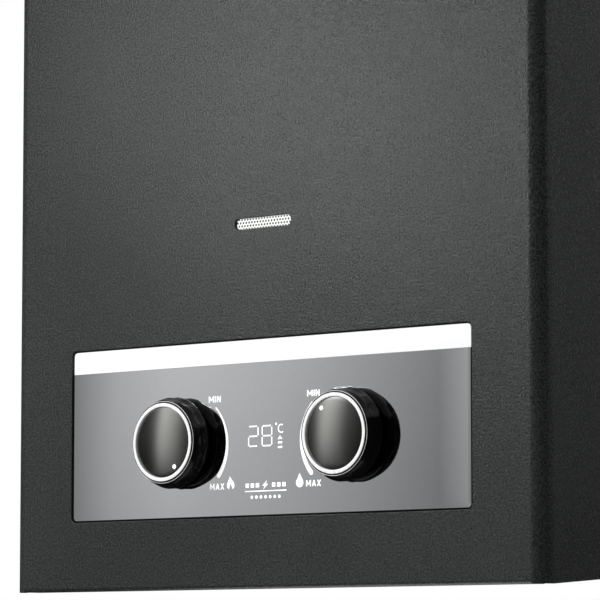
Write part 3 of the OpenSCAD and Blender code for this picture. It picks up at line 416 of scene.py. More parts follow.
def add_node(tree, kind, inputs=None, **settings):
    """A node of a tree, with its sockets set or linked."""
    node = tree.nodes.new("ShaderNode" + kind)
    for key, value in settings.items():
        setattr(node, key, value)
    for key, value in (inputs or {}).items():
        if isinstance(value, bpy.types.NodeSocket):
            tree.links.new(value, node.inputs[key])
        else:
            node.inputs[key].default_value = value
    return node


def maths(tree, operation, *values):
    """The result of a Math node on numbers and sockets."""
    return add_node(tree, "Math", dict(enumerate(values)), operation=operation).outputs[0]


def noise(tree, place, scale, detail, roughness=0.5):
    """The level of a cloud-like noise."""
    settings = {"Vector": place, "Scale": scale, "Detail": detail, "Roughness": roughness}
    return add_node(tree, "TexNoise", settings).outputs["Fac"]


def new_group(name, sockets):
    """A node group with Height and Mask outputs, and with it its inputs and its object coordinates."""
    group = bpy.data.node_groups.new(name, "ShaderNodeTree")
    for label, default in sockets.items():
        socket = group.interface.new_socket(label, in_out="INPUT", socket_type="NodeSocketFloat")
        socket.default_value = default
    for label in ("Height", "Mask"):
        group.interface.new_socket(label, in_out="OUTPUT", socket_type="NodeSocketFloat")
    return group, group.nodes.new("NodeGroupInput").outputs, add_node(group, "TexCoord").outputs["Object"]


def put_out(group, height, mask):
    """Hands a height and a mask to a group's outputs."""
    target = group.nodes.new("NodeGroupOutput")
    group.links.new(height, target.inputs["Height"])
    group.links.new(mask, target.inputs["Mask"])
    return group


def grain_group():
    """Fine pebbled grain, and slow cloudy changes over the surface."""
    group, given, place = new_group("Fine grain", {"Grain": 1400, "Clouds": 12, "Cloudiness": 0.5})
    fine, slow = noise(group, place, given["Grain"], 2.0, 0.6), noise(group, place, given["Clouds"], 4.0)
    mask = add_node(group, "Mix", {0: given["Cloudiness"], 2: fine, 3: slow}).outputs[0]
    return put_out(group, fine, mask)


def brushed_group():
    """Fine drawn lines along one axis, with slow smudges."""
    sizes = {"Lines X": 900, "Lines Y": 900, "Lines Z": 12, "Clouds": 14}
    group, given, place = new_group("Brushed lines", sizes)
    scale = add_node(group, "CombineXYZ", {k: given["Lines " + k] for k in "XYZ"}).outputs[0]
    stretched = add_node(group, "VectorMath", {0: place, 1: scale}, operation="MULTIPLY").outputs[0]
    lines = noise(group, stretched, 1.0, 3.0, 0.6)
    smudges = maths(group, "MULTIPLY", noise(group, place, given["Clouds"], 4.0), 0.6)
    return put_out(group, lines, maths(group, "MULTIPLY_ADD", lines, 0.4, smudges))


def spangle_group():
    """The crystal pattern of hot-dipped zinc."""
    group, given, place = new_group("Zinc spangle", {"Crystals": 130, "Clouds": 20})
    warp = add_node(group, "TexNoise", {"Vector": place, "Scale": given["Clouds"], "Detail": 3.0})
    wander = (0.012, 0.012, 0.012)
    shift = add_node(group, "VectorMath", {0: warp.outputs["Color"], 1: wander, 2: place},
                     operation="MULTIPLY_ADD")
    cells = add_node(group, "TexVoronoi", {"Vector": shift.outputs[0], "Scale": given["Crystals"]})
    level = add_node(group, "RGBToBW", {"Color": cells.outputs["Color"]}).outputs[0]
    haze = maths(group, "MULTIPLY", warp.outputs["Fac"], 0.4)
    return put_out(group, cells.outputs["Distance"], maths(group, "MULTIPLY_ADD", level, 0.6, haze))


def spun_group():
    """Fine rings turned round a knob's axis, the same on both knobs."""
    group, given, place = new_group("Spun rings", {"Centre X": 0.0487, "Centre Z": -0.39, "Rings": 2600})
    parts = add_node(group, "SeparateXYZ", {0: place}).outputs
    dx = maths(group, "SUBTRACT", maths(group, "ABSOLUTE", parts["X"]), given["Centre X"])
    dz = maths(group, "SUBTRACT", parts["Z"], given["Centre Z"])
    flat = add_node(group, "CombineXYZ", {"X": dx, "Z": dz}).outputs[0]
    radius = add_node(group, "VectorMath", {0: flat}, operation="LENGTH").outputs["Value"]
    rings = add_node(group, "TexNoise", {"W": radius, "Scale": given["Rings"], "Detail": 2.0},
                     noise_dimensions="1D").outputs["Fac"]
    haze = maths(group, "MULTIPLY", noise(group, place, 90.0, 3.0), 0.3)
    return put_out(group, rings, maths(group, "MULTIPLY_ADD", rings, 0.7, haze))


def heat_group():
    """Bands of heat tint that climb a hot sheet, broken by stains."""
    group, given, place = new_group("Heat tint", {"Height of heat": -0.29, "Spread": 9.0, "Grain": 500})
    height = add_node(group, "SeparateXYZ", {0: place}).outputs["Z"]
    above = maths(group, "SUBTRACT", height, given["Height of heat"])
    band = maths(group, "MULTIPLY", above, given["Spread"])
    stain, fine = noise(group, place, 38.0, 5.0, 0.65), noise(group, place, given["Grain"], 2.0)
    return put_out(group, fine, maths(group, "MULTIPLY_ADD", stain, 0.9, band))


def finish(name, group, scales, light, dark, rough, bump=0.1, depth=0.05 * MM, span=(0.36, 0.64), ramp=None,
           **sockets):
    """A finish whose colour and roughness follow a group's mask, and whose relief follows its height."""
    made = bpy.data.materials.new(name)
    made.use_nodes = True
    tree = made.node_tree
    shader = tree.nodes["Principled BSDF"]
    source = add_node(tree, "Group", node_tree=group)
    for key, value in scales.items():
        source.inputs[key].default_value = value
    reach = {"Value": source.outputs["Mask"], "From Min": span[0], "From Max": span[1]}
    share = add_node(tree, "MapRange", reach).outputs[0]
    if ramp:
        colour = add_node(tree, "ValToRGB", {0: share})
        steps = colour.color_ramp.elements
        steps[0].position, steps[0].color = ramp[0][0], (*ramp[0][1], 1)
        steps[1].position, steps[1].color = ramp[-1][0], (*ramp[-1][1], 1)
        for place, rgb in ramp[1:-1]:
            steps.new(place).color = (*rgb, 1)
        tree.links.new(colour.outputs["Color"], shader.inputs["Base Color"])
    else:
        colour = add_node(tree, "Mix", {0: share}, data_type="RGBA")
        colour.inputs[6].default_value, colour.inputs[7].default_value = (*dark, 1), (*light, 1)
        tree.links.new(colour.outputs[2], shader.inputs["Base Color"])
    shine = add_node(tree, "MapRange", {**reach, "To Min": rough[0], "To Max": rough[1]})
    tree.links.new(shine.outputs[0], shader.inputs["Roughness"])
    if bump:
        relief = {"Strength": bump, "Distance": depth, "Height": source.outputs["Height"]}
        relief = add_node(tree, "Bump", relief)
        tree.links.new(relief.outputs["Normal"], shader.inputs["Normal"])
    for key, value in sockets.items():
        shader.inputs[key.replace("_", " ")].default_value = value
    return made


def shade(rgb, by):
    """A darker or lighter tone of a colour."""
    return tuple(min(1.0, c * by) for c in rgb)


def grey(level):
    """A grey of one level."""
    return (level, level, level)


FINISH = {}

HOT_STEEL = ((0.0, grey(0.60)), (0.34, (0.64, 0.58, 0.46)), (0.52, (0.48, 0.34, 0.30)),
             (0.68, (0.34, 0.36, 0.50)), (1.0, grey(0.50)))
HOT_COPPER = ((0.62, (0.42, 0.20, 0.17)), (0.80, (0.34, 0.20, 0.26)), (1.0, (0.52, 0.27, 0.17)))


def metal_finishes(scene):
    """The finishes of the bare metals and of the drawn, turned or heated surfaces."""
    panel, knob, fit = scene.heater_panel, scene.heater_knob, scene.heater_fitting
    brushed, heat = brushed_group(), heat_group()
    axis = (KNOBS["water"][0] + KNOBS["water"][1]) / 2
    copper = ((0.0, tuple(fit.copper)), (0.40, shade(fit.copper, 0.82)), *HOT_COPPER)
    return {
        "zinc_steel": finish("Zinc sheet", spangle_group(), {}, (0.61, 0.62, 0.64), (0.49, 0.50, 0.52),
                             (0.34, 0.52), bump=0.05, span=(0.3, 0.8), Metallic=1.0),
        "steel": finish("Drawn steel", brushed, {}, grey(0.66), (0.46, 0.46, 0.47), (0.24, 0.42), bump=0.08,
                        Metallic=1.0),
        "stainless": finish("Hot stainless", heat, {"Height of heat": -0.29}, grey(0), grey(0), (0.28, 0.5),
                            bump=0.06, span=(0.0, 1.4), Metallic=1.0, ramp=HOT_STEEL),
        "copper": finish("Dulled copper", heat, {"Height of heat": -0.26, "Spread": 4.0}, grey(0), grey(0),
                         (0.26, 0.50), bump=0.05, span=(0.0, 1.3), Metallic=1.0, ramp=copper),
        "brass": finish("Machined brass", brushed,
                        {"Lines X": 25, "Lines Y": 25, "Lines Z": 1500, "Clouds": 40}, fit.brass,
                        shade(fit.brass, 0.66), (0.22, 0.40), bump=0.10, Metallic=1.0),
        "bright_strip": finish("Bright strip", brushed,
                               {"Lines X": 8, "Lines Y": 900, "Lines Z": 1100, "Clouds": 18}, panel.strip,
                               shade(panel.strip, 0.96), (0.40, 0.46), bump=0.04, Metallic=0.15),
        "knob_disc": finish("Spun black", spun_group(), {"Centre X": abs(axis.x), "Centre Z": axis.z},
                            knob.disc, shade(knob.disc, 0.9), (0.10, 0.14), bump=0.02, depth=0.003 * MM,
                            Metallic=1.0),
        "cell_wrap": finish("Cell wrap", brushed,
                            {"Lines X": 60, "Lines Y": 60, "Lines Z": 300, "Clouds": 30}, (0.13, 0.14, 0.17),
                            (0.09, 0.10, 0.12), (0.24, 0.36), bump=0.03, Coat_Weight=0.3),
    }


def grained_finishes(scene):
    """The finishes with a fine pebbled grain."""
    case, panel, knob = scene.heater_case, scene.heater_panel, scene.heater_knob
    grain = grain_group()
    # slot, name, grain, clouds, light colour, dark colour, roughness, bump, other values
    table = (
        # The powder coat's darker colour is painted shade in the grain's hollows, mixed with random cloudy
        # tone
        ("coated_steel", "Powder coat", 1100, 9, case.coat, case.coat_grain_shade, (0.19, 0.26), 1.0,
         dict(depth=0.24 * MM, Specular_IOR_Level=0.75, Specular_Tint=(0.95, 1.0, 0.97, 1))),
        ("mirror_plate", "Mirror plate", 700, 35, panel.plate, shade(panel.plate, 0.97), (0.03, 0.05), 0.0,
         dict(Metallic=1.0)),
        ("knob_gloss", "Piano black", 900, 60, knob.gloss, shade(knob.gloss, 0.7), (0.10, 0.18), 0.015,
         dict(Specular_IOR_Level=0.22)),
        ("chrome", "Bright ring", 700, 90, grey(0.96), (0.92, 0.92, 0.93), (0.26, 0.32), 0.0,
         dict(Metallic=0.25)),
        # White ink: print on the plate and the knob dots; its emission is painted light that keeps the marks
        # bright where the knobs shade the plate
        ("white_mark", "White ink with painted glow", 1800, 200, panel.ink, shade(panel.ink, 0.93), (0.42, 0.58), 0.05,
         dict(Emission_Color=(1, 1, 1, 1), Emission_Strength=0.45)),
        ("black_plastic", "Moulded black", 1600, 25, (0.024, 0.024, 0.026), (0.015, 0.015, 0.016),
         (0.46, 0.62), 0.30, dict(depth=0.06 * MM)),
        ("grip_rubber", "Grip rubber", 2200, 30, grey(0.022), grey(0.012), (0.66, 0.84), 0.35,
         dict(depth=0.08 * MM)),
        ("ceramic", "Glazed ceramic", 500, 80, (0.86, 0.84, 0.79), (0.76, 0.73, 0.67), (0.12, 0.24), 0.03,
         dict(Coat_Weight=0.3)),
        ("mica", "Mica sheet", 300, 60, (0.80, 0.66, 0.42), (0.62, 0.48, 0.27), (0.12, 0.30), 0.05,
         dict(Transmission_Weight=0.75)),
        ("rubber", "Moulded rubber", 900, 40, grey(0.030), grey(0.016), (0.6, 0.8), 0.2, {}),
        ("nylon", "White nylon", 1200, 70, (0.82, 0.82, 0.79), (0.70, 0.70, 0.66), (0.38, 0.55), 0.12,
         dict(Subsurface_Weight=0.05)),
        ("lead_silicone", "Silicone sleeve", 1500, 50, (0.42, 0.050, 0.032), (0.30, 0.030, 0.020),
         (0.45, 0.62), 0.15, {}),
        ("button_red", "Red button", 1500, 80, (0.45, 0.035, 0.025), (0.34, 0.025, 0.018),
         (0.28, 0.42), 0.08, {}),
        ("display_glass", "Display face", 900, 50, (0.016, 0.016, 0.020), (0.010, 0.010, 0.012),
         (0.10, 0.18), 0.0, dict(Coat_Weight=0.5)),
        ("perforated", "Perforated strip", 900, 60, (0.96, 0.96, 0.95), grey(0.90), (0.30, 0.42), 0.05,
         dict(Metallic=0.15)),
        ("lit_digits", "Display digits", 900, 200, (0.95, 0.95, 0.96), (0.90, 0.91, 0.93), (0.4, 0.5), 0.0,
         dict(Emission_Color=(0.9, 0.95, 1.0, 1), Emission_Strength=0.35)),
    )
    made = {}
    for slot, name, fine, slow, light, dark, rough, bump, more in table:
        scales = {"Grain": fine, "Clouds": slow}
        if slot == "coated_steel":
            scales["Cloudiness"] = case.cloudiness
        made[slot] = finish(name, grain, scales, light, dark, rough, bump=bump, **more)
    return made


def finish_for(slot):
    """A finish by the name of its material slot. All of them are made when the first is asked for."""
    if not FINISH:
        FINISH.update(metal_finishes(bpy.context.scene))
        FINISH.update(grained_finishes(bpy.context.scene))
    return FINISH[slot]


# ---------- pieces ----------


class HEATER_OT_case(bpy.types.Operator):
    """Folds the sheet-metal case with its openings and the perforated strip behind the slot."""

    bl_idname = "heater.case"
    bl_label = "Case"

    def folded_sheet(self, s):
        """The sheet with its upright folds, its lips and its turned-in lower edge."""
        low, high = CASE
        lip, rise = s.lip, math.radians(4)
        shell = rounded_block("case_shell", low, high, s.fold_radius, 12,
                              lambda a, b: along(2)(a, b) and a.y < low.y + TINY)
        pick(shell, "FACE", lambda c, n: n.y > MOSTLY or n.z < -MOSTLY)
        bpy.ops.mesh.delete(type="FACE")
        cuts = (((low.x + lip, 0, 0), (1, 0, 0)), ((high.x - lip, 0, 0), (1, 0, 0)),
                ((0, low.y + lip, 0), (0, 1, 0)))
        for at, way in cuts:
            pick(shell, "FACE", lambda c, n: n.z > MOSTLY)
            bpy.ops.mesh.bisect(plane_co=at, plane_no=way)
        pick(shell, "FACE", lambda c, n: n.z > MOSTLY and abs(c.x) < high.x - lip and c.y > low.y + lip)
        bpy.ops.mesh.delete(type="FACE")
        pick(shell, "FACE", lambda c, n: abs(n.x) > 0.99)
        bpy.ops.mesh.bisect(plane_co=(0, low.y + s.fold_radius, low.z),
                            plane_no=(0, -math.sin(rise), math.cos(rise)), clear_inner=True)

        def rim(a, b):
            at_rim = max(a.z, b.z) < low.z + TINY and max(a.y, b.y) < low.y + TINY
            return at_rim and abs(a.x - b.x) > 50 * MM

        pick(shell, "EDGE", rim)
        bpy.ops.mesh.extrude_region_move(TRANSFORM_OT_translate={"value": (0, lip, 0)})
        round_edges(shell, s.rim_fold, 5, rim)
        pick(shell, "FACE", lambda c, n: True)
        bpy.ops.mesh.normals_make_consistent(inside=False)
        thicken(shell, s.sheet)
        return shell

    def perforated_strip(self, s, half, mid_z):
        """A thin sheet pressed forward into the slot, with its rows of holes, and a dark block behind it that
        stands in for the shade in the slot's gap.
        """
        front_y, (low, high) = CASE[0].y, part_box("viewing_mesh")
        strip = rounded_block("perforated_strip", low, high, 1 * MM, 4, along(1))
        sheet, sunk, play = 0.2 * MM, 0.15 * MM, 0.06 * MM
        middle = Vector((s.strip_gap / 2, 0, mid_z))
        for grow, front, back, way in ((0.0, front_y + sunk, low.y + sheet, "UNION"),
                                       (-sheet, front_y + sunk + sheet, high.y + 1 * MM, "DIFFERENCE")):
            size = Vector((half.x - s.strip_gap / 2 + grow, 0, half.z + grow - play))
            pan_low, pan_high = middle - size + Vector((0, front, 0)), middle + size + Vector((0, back, 0))
            combine(strip, rounded_block("pan", pan_low, pan_high, size.z * 0.9, 6, along(1)), way)
        columns, rows, shift, lift, margin = 11, 5, 0.07, 0.5 * MM, 0.2 * MM
        pins = []
        for row in range(rows):
            z = mid_z + s.hole_row * (row - rows // 2) + lift
            for i in range(-columns, columns + 1):
                x = (i + 0.5 * (row % 2) + shift) * s.hole_pitch
                if -half.x + s.strip_gap < x < half.x + margin:
                    pins.append(bar("pin", (x, front_y, z), s.hole_radius, 4 * MM, "Y", 12))
        combine(strip, join("pins", *pins))
        dress(strip, "perforated", "case", "steel", "viewing_mesh")
        # Painted shade: a dark block set behind the slot, so that the gap beside the strip shows dark like
        # shade instead of the lit flange
        loose, half_thick, seat = 0.02 * MM, 0.12 * MM, 0.04 * MM
        inner = Vector((half.x - loose, half_thick, half.z - loose))
        middle = Vector((0, low.y + seat, mid_z))
        back = rounded_block("slot_shade_backing", middle - inner, middle + inner, inner.z * NEARLY, 8, along(1))
        dress(back, "black_plastic", "case", "black_plastic")

    def execute(self, context):
        s = context.scene.heater_case
        low, gap = CASE[0], s.opening_gap
        shell = self.folded_sheet(s)
        hole_low = Vector((PLATE[0].x - gap, low.y - REACH, PLATE[0].z - gap))
        hole_high = Vector((STRIP[1].x + gap, low.y + REACH, STRIP[1].z + gap))
        combine(shell, rounded_block("hole", hole_low, hole_high, s.opening_radius, 6, along(1)))
        mid_z = low.z + s.slot_z
        middle, half = Vector((0, low.y, mid_z)), Vector((s.slot_length / 2, REACH, s.slot_height / 2))
        combine(shell, rounded_block("slot", middle - half, middle + half, half.z * NEARLY, 8, along(1)))
        screws_low, screws_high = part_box("cover_screws")
        screw_y = (screws_low.y + screws_high.y) / 2
        for z in (screws_low.z + SCREW_HEAD, screws_high.z - SCREW_HEAD):
            combine(shell, bar("drill", (0, screw_y, z), s.screw_hole, 1.0, "X", 24))

        def on_opening(p):
            in_hole = abs(p.x) < hole_high.x + TINY and hole_low.z - TINY < p.z < hole_high.z + TINY
            in_slot = abs(p.x) < half.x + TINY and abs(p.z - mid_z) < half.z + TINY
            return p.y < low.y + TINY and (in_hole or in_slot)

        round_edges(shell, 0.3 * MM, 3, lambda a, b: on_opening(a) and on_opening(b))
        dress(shell, "coated_steel", "case", "coated_steel", "front_cover", angle=40)
        self.perforated_strip(s, half, mid_z)
        return {"FINISHED"}


class HEATER_OT_panel(bpy.types.Operator):
    """Makes the mirror plate and the bright strip along its top."""

    bl_idname = "heater.panel"
    bl_label = "Control plate"

    def execute(self, context):
        s = context.scene.heater_panel
        low, high = PLATE[0], Vector((STRIP[1].x, PLATE[1].y, STRIP[1].z))
        plate = rounded_block("mirror_plate", low, high, s.corner, 6, along(1))
        recess = block("recess", STRIP[0] - Vector((5, 5, 0)) * MM, STRIP[1] + Vector((5, 0, 5)) * MM)
        combine(plate, recess)
        for knob_low, knob_high in KNOBS.values():
            combine(plate, bar("drill", (knob_low + knob_high) / 2, 4 * MM, DRILL, "Y", 48))
        soften(plate, 0.15 * MM, 2)
        bend, steps = high.x - s.bow_width, 8
        for i in range(steps):
            pick(plate, "FACE", lambda c, n: True)
            bpy.ops.mesh.bisect(plane_co=(bend + i * s.bow_width / steps, 0, 0), plane_no=(1, 0, 0))
        fresh()
        for vertex in plate.data.vertices:
            vertex.co.y -= s.bow * (max(0.0, vertex.co.x - bend) / s.bow_width) ** 2
        dress(plate, "mirror_plate", "case", "mirror_plate", "control_plate")
        strip = rounded_block("bright_strip", *STRIP, s.corner, 6,
                              lambda a, b: along(1)(a, b) and a.z > STRIP[0].z + 5 * MM)
        soften(strip, 0.14 * MM, 2)
        dress(strip, "bright_strip", "case", "bright_strip", "trim_strip")
        return {"FINISHED"}


CAP_TURNS = (0.52, 1.05, 1.57, 2.09, 2.62)  # angles of the points round a band's last end


def band(points, widths):
    """The outline of a band of changing width along a line of points, with its last end round."""
    left, right = [], []
    for i, (x, z) in enumerate(points):
        a, b = points[max(i - 1, 0)], points[min(i + 1, len(points) - 1)]
        way = Vector((b[0] - a[0], b[1] - a[1])).normalized()
        side = Vector((-way.y, way.x)) * widths[i] / 2
        left.append((x + side.x, z + side.y))
        right.append((x - side.x, z - side.y))
    end = Vector(points[-1])
    tip = end - Vector(points[-2])
    way, side = tip.normalized(), Vector((-tip.y, tip.x)).normalized()
    cap = [tuple(end + (side * math.cos(t) + way * math.sin(t)) * widths[-1] / 2) for t in CAP_TURNS]
    return left + cap + right[::-1]


def around(x, z, radius, start, stop, count):
    """Points on an arc, with angles in degrees."""
    turns = [math.radians(start + (stop - start) * i / (count - 1)) for i in range(count)]
    return [(x + radius * math.cos(t), z + radius * math.sin(t)) for t in turns]


def oblong(x0, x1, z0, z1):
    """The outline of an upright rectangle."""
    return [(x0, z0), (x1, z0), (x1, z1), (x0, z1)]


# Printed marks, in millimetres from the case's middle and above its lower rim.
# A letter is a list of strokes from one (x, z) to another in a box of 1 by 1, and is as wide as WIDTHS says.
WIDTHS = {"M": 1.3, "I": 0.22, "N": 0.95, "A": 1.1, "X": 1.05}
LETTERS = {
    "M": ((0, 0, 0, 1), (1, 0, 1, 1), (0, 1, 0.5, 0.25), (1, 1, 0.5, 0.25)),
    "I": ((0.5, 0, 0.5, 1),),
    "N": ((0, 0, 0, 1), (1, 0, 1, 1), (0, 1, 1, 0)),
    "A": ((0, 0, 0.5, 1), (1, 0, 0.5, 1), (0.2, 0.3, 0.8, 0.3)),
    "X": ((0, 0, 1, 1), (0, 1, 1, 0)),
}
LETTER_GAP = 0.24
LETTER_WEIGHT = 0.6
LAYER = 0.003 * MM  # how much each stroke of a letter stands over the one before, as level tops would flicker
WORDS = (("MIN", -31.6, -24.6, 81.6, 84.3), ("MAX", -30.8, -22.5, 43.3, 46.0),
         ("MIN", 24.6, 31.6, 81.7, 84.4), ("MAX", 24.0, 32.3, 43.1, 45.8))
ARCS = ((-43.15, 63.36, 45.7, -38.8), (43.56, 63.83, 136.1, 221.7))
ARC_RADIUS = 22.3
FLAME = [(-20.9, 44.6), (-20.7, 46.0), (-20.0, 47.2), (-19.5, 48.1), (-19.3, 48.9), (-18.6, 48.0),
         (-18.0, 47.3), (-17.3, 46.6), (-16.8, 45.6), (-16.6, 44.6), (-16.9, 43.8), (-17.7, 43.3),
         (-18.1, 44.3), (-18.4, 45.0), (-18.8, 45.6), (-19.2, 45.0), (-19.5, 44.3), (-19.7, 43.3),
         (-20.5, 43.8)]
DROP = around(20.45, 44.95, 2.05, -205, 25, 20) + [
    (22.0, 46.3), (21.4, 47.3), (20.9, 48.2), (20.45, 49.0), (20.0, 48.2), (19.5, 47.3), (18.9, 46.3)]
SPARK = [(2.0, 46.6), (-0.7, 44.2), (0.7, 44.2), (-0.2, 42.6), (2.7, 45.0), (1.3, 45.0)]
ROW_MIDDLE = 1.2
# A digit's strokes, from one (x, z) to another in a box of 1 by 1, and each digit's sides and strokes.
SEGMENTS = {
    "top": (0.9, 1, 0.1, 1), "mid": (0.9, 0.5, 0.1, 0.5), "low": (0.9, 0, 0.1, 0), "ul": (0, 0.56, 0, 0.94),
    "ur": (1, 0.94, 1, 0.56), "ll": (0, 0.44, 0, 0.06), "lr": (1, 0.44, 1, 0.06),
}
DIGITS = ((-8.5, -3.1, ("top", "ur", "mid", "ll", "low")), (-0.75, 4.7, tuple(SEGMENTS)))
DIGIT_Z, DIGIT_TALL = 61.5, 8.6


class HEATER_OT_marks(bpy.types.Operator):
    """Prints the scales, symbols and display digits on the mirror plate."""

    bl_idname = "heater.marks"
    bl_label = "Printed marks"

    def mark(self, name, outline, extra=0.0):
        """One raised mark on the plate."""
        points = [(x * MM, z * MM + CASE[0].z) for x, z in outline]
        return flat_shape(name, points, PLATE[0].y, bpy.context.scene.heater_panel.ink_height + extra)

    def word(self, text, x0, x1, z0, z1):
        """Bold letters made of straight strokes, spread over a rectangle."""
        total = sum(WIDTHS[letter] for letter in text) + LETTER_GAP * (len(text) - 1)
        unit, tall, half = (x1 - x0) / total, z1 - z0, LETTER_WEIGHT / 2
        strokes = []
        for letter in text:
            wide = WIDTHS[letter] * unit
            for i, (ax, az, bx, bz) in enumerate(LETTERS[letter]):
                a = (x0 + half + (wide - LETTER_WEIGHT) * ax, z0 + tall * az)
                b = (x0 + half + (wide - LETTER_WEIGHT) * bx, z0 + tall * bz)
                outline = [(a[0] - half, a[1]), (a[0] + half, a[1]), (b[0] + half, b[1]), (b[0] - half, b[1])]
                if az == bz:
                    outline = oblong(a[0], b[0], a[1] - half, a[1] + half)
                strokes.append(self.mark("letter", outline, LAYER * i))
            x0 += wide + LETTER_GAP * unit
        return strokes

    def scales(self):
        """The words, arcs and symbols beside the knobs, and the small row under the display."""
        marks = [stroke for word in WORDS for stroke in self.word(*word)]
        steps = 36
        widths = [0.5 + 1.6 * i / (steps - 1) for i in range(steps)]
        for x, z, start, stop in ARCS:
            marks.append(self.mark("scale_arc", band(around(x, z, ARC_RADIUS, start, stop, steps), widths)))
        marks += [self.mark("flame", FLAME), self.mark("drop", DROP), self.mark("spark", SPARK)]
        for i in range(3):
            for side in (-1, 1):
                x = ROW_MIDDLE + side * (4.6 + 2.9 * i)
                marks.append(self.mark("tick", oblong(x - 0.95, x + 0.95, 43.6, 45.4)))
        marks.append(self.mark("rule", oblong(-10.6, 13.0, 41.75, 42.2)))
        for i in range(-3, 4):
            marks.append(self.mark("dot", around(ROW_MIDDLE + i * 2.6, 39.4, 0.72, 0, 330, 12)))
        return marks

    def reading(self, stroke):
        """The lit digits, the degree sign and the level marks beside them."""
        lit = []
        for x0, x1, used in DIGITS:
            wide = x1 - x0
            for ax, az, bx, bz in (SEGMENTS[key] for key in used):
                a = (x0 + wide * ax, DIGIT_Z + DIGIT_TALL * az)
                b = (x0 + wide * bx, DIGIT_Z + DIGIT_TALL * bz)
                line = [a, ((a[0] + b[0]) / 2, (a[1] + b[1]) / 2), b]
                lit.append(self.mark("stroke", band(line, [stroke] * 3)))
        lit.append(self.mark("degree", around(7.2, 70.7, 0.55, 0, 330, 12)))
        lit.append(self.mark("celsius", band(around(10.1, 68.6, 1.7, 60, 300, 20), [0.55] * 20)))
        lit.append(self.mark("arrow", [(8.0, 64.0), (10.7, 64.0), (9.35, 65.7)]))
        for z in (62.6, 60.6):
            lit.append(self.mark("level", oblong(8.2, 10.6, z - 0.45, z + 0.45)))
        return lit

    def execute(self, context):
        dress(join("panel_marks", *self.scales()), "white_mark", "case", "white_mark")
        stroke = context.scene.heater_panel.stroke / MM
        dress(join("display_digits", *self.reading(stroke)), "lit_digits", "case", "white_mark")
        return {"FINISHED"}


class HEATER_OT_knobs(bpy.types.Operator):
    """Turns the two knobs with their finger dimples, bright rings, cap discs and marks."""

    bl_idname = "heater.knobs"
    bl_label = "Knobs"

    def body_profile(self, top):
        """The knob's flank, lip and seat, from its foot to the middle of its front."""
        flank = [(17.0, 0.6), (18.1, 1.0), (19.1, 1.9), (19.85, 3.0), (20.22, 3.9), (20.3, 4.6), (20.15, 5.7),
                 (19.75, 7.0), (19.3, 8.3), (18.85, 9.4), (18.5, 10.1), (18.2, top + 0.55)]
        lip = [(18.0, top + 0.9), (17.8, top + 1.1), (17.65, top + 1.3), (17.5, top + 1.38),
               (17.32, top + 1.38), (17.24, top + 1.3), (17.24, top)]
        return [(0, 0.6)] + smooth_profile(flank, 4) + lip + [(15.0, top), (0, top)]

    def press_dimples(self, knob, middle, s):
        """Presses a ring of oval finger dimples into the flank."""
        seat_radius, step = 17.2 * MM, TURN / s.dimples
        for vertex in knob.data.vertices:
            dx, dz = vertex.co.x - middle.x, vertex.co.z - middle.z
            radius = math.hypot(dx, dz)
            if radius < seat_radius:
                continue
            off = (math.atan2(dz, dx) + step / 2) % step - step / 2
            up = (middle.y - vertex.co.y) - s.dimple_rise
            far = (off * radius / s.dimple_width) ** 2 + (up / s.dimple_length) ** 2
            if far < 1:
                push = s.dimple_depth * (1 - far)
                vertex.co.x -= dx / radius * push
                vertex.co.z -= dz / radius * push

    def execute(self, context):
        s = context.scene.heater_knob
        plate_y, front = PLATE[0].y, (0, -1, 0)
        top = (plate_y - KNOBS["gas"][0].y) / MM
        crown, edge, dome = top + 0.68, 15.32, s.dome / MM
        for key, (low, high) in KNOBS.items():
            body, node = key + "_control", key + "_knob"
            middle = Vector(((low.x + high.x) / 2, plate_y, (low.z + high.z) / 2))
            knob = lathe(key + "_knob_body", self.body_profile(top), middle, front, s.dimples * 16)
            self.press_dimples(knob, middle, s)
            dress(knob, "knob_gloss", body, "knob_gloss", node, angle=50)
            ring = [(15.6, top), (15.6, top + 1.30), (15.65, top + 1.42), (15.76, top + 1.48),
                    (15.9, top + 1.5), (17.0, top + 1.5), (17.12, top + 1.47), (17.2, top + 1.38),
                    (17.22, top + 1.25), (17.22, top), (15.6, top)]
            # Painted highlight: a thin bright bead on the black knob's lip, in the ring's finish, stands in
            # for the light that the lip reflects
            lip_highlight_bead = around(17.95, top + 0.92, 0.12, 0, 360, 13)
            rings = join(key + "_ring", lathe("ring", ring, middle, front, 128),
                         lathe("lip_highlight_bead", lip_highlight_bead, middle, front, 128))
            dress(rings, "chrome", body, "chrome", node + "_ring", angle=60)
            disc = [(0, top + 0.1), (15.5, top + 0.1), (15.5, top + 0.54), (15.44, top + 0.64)]
            disc += [(edge * t / 10, crown + dome * (1 - (t / 10) * (t / 10))) for t in range(10, -1, -1)]
            cap = lathe(key + "_cap_disc", disc, middle, front, 128)
            dress(cap, "knob_disc", body, "knob_disc", node + "_cap", angle=60)
            mark_low, mark_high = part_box(node + "_mark")
            spot = (mark_low + mark_high) / 2
            reach = math.hypot(spot.x - middle.x, spot.z - middle.z) / MM / edge
            sits = crown + dome * (1 - reach * reach)
            spot.y = plate_y
            dot = [(0, sits - 0.2), (0.98, sits - 0.2), (1.0, sits + 0.05), (0.9, sits + 0.1),
                   (0.5, sits + 0.13), (0, sits + 0.14)]
            dot = lathe(key + "_mark_dot", dot, spot, front, 32)
            dress(dot, "white_mark", body, "white_mark", node + "_mark")
        return {"FINISHED"}


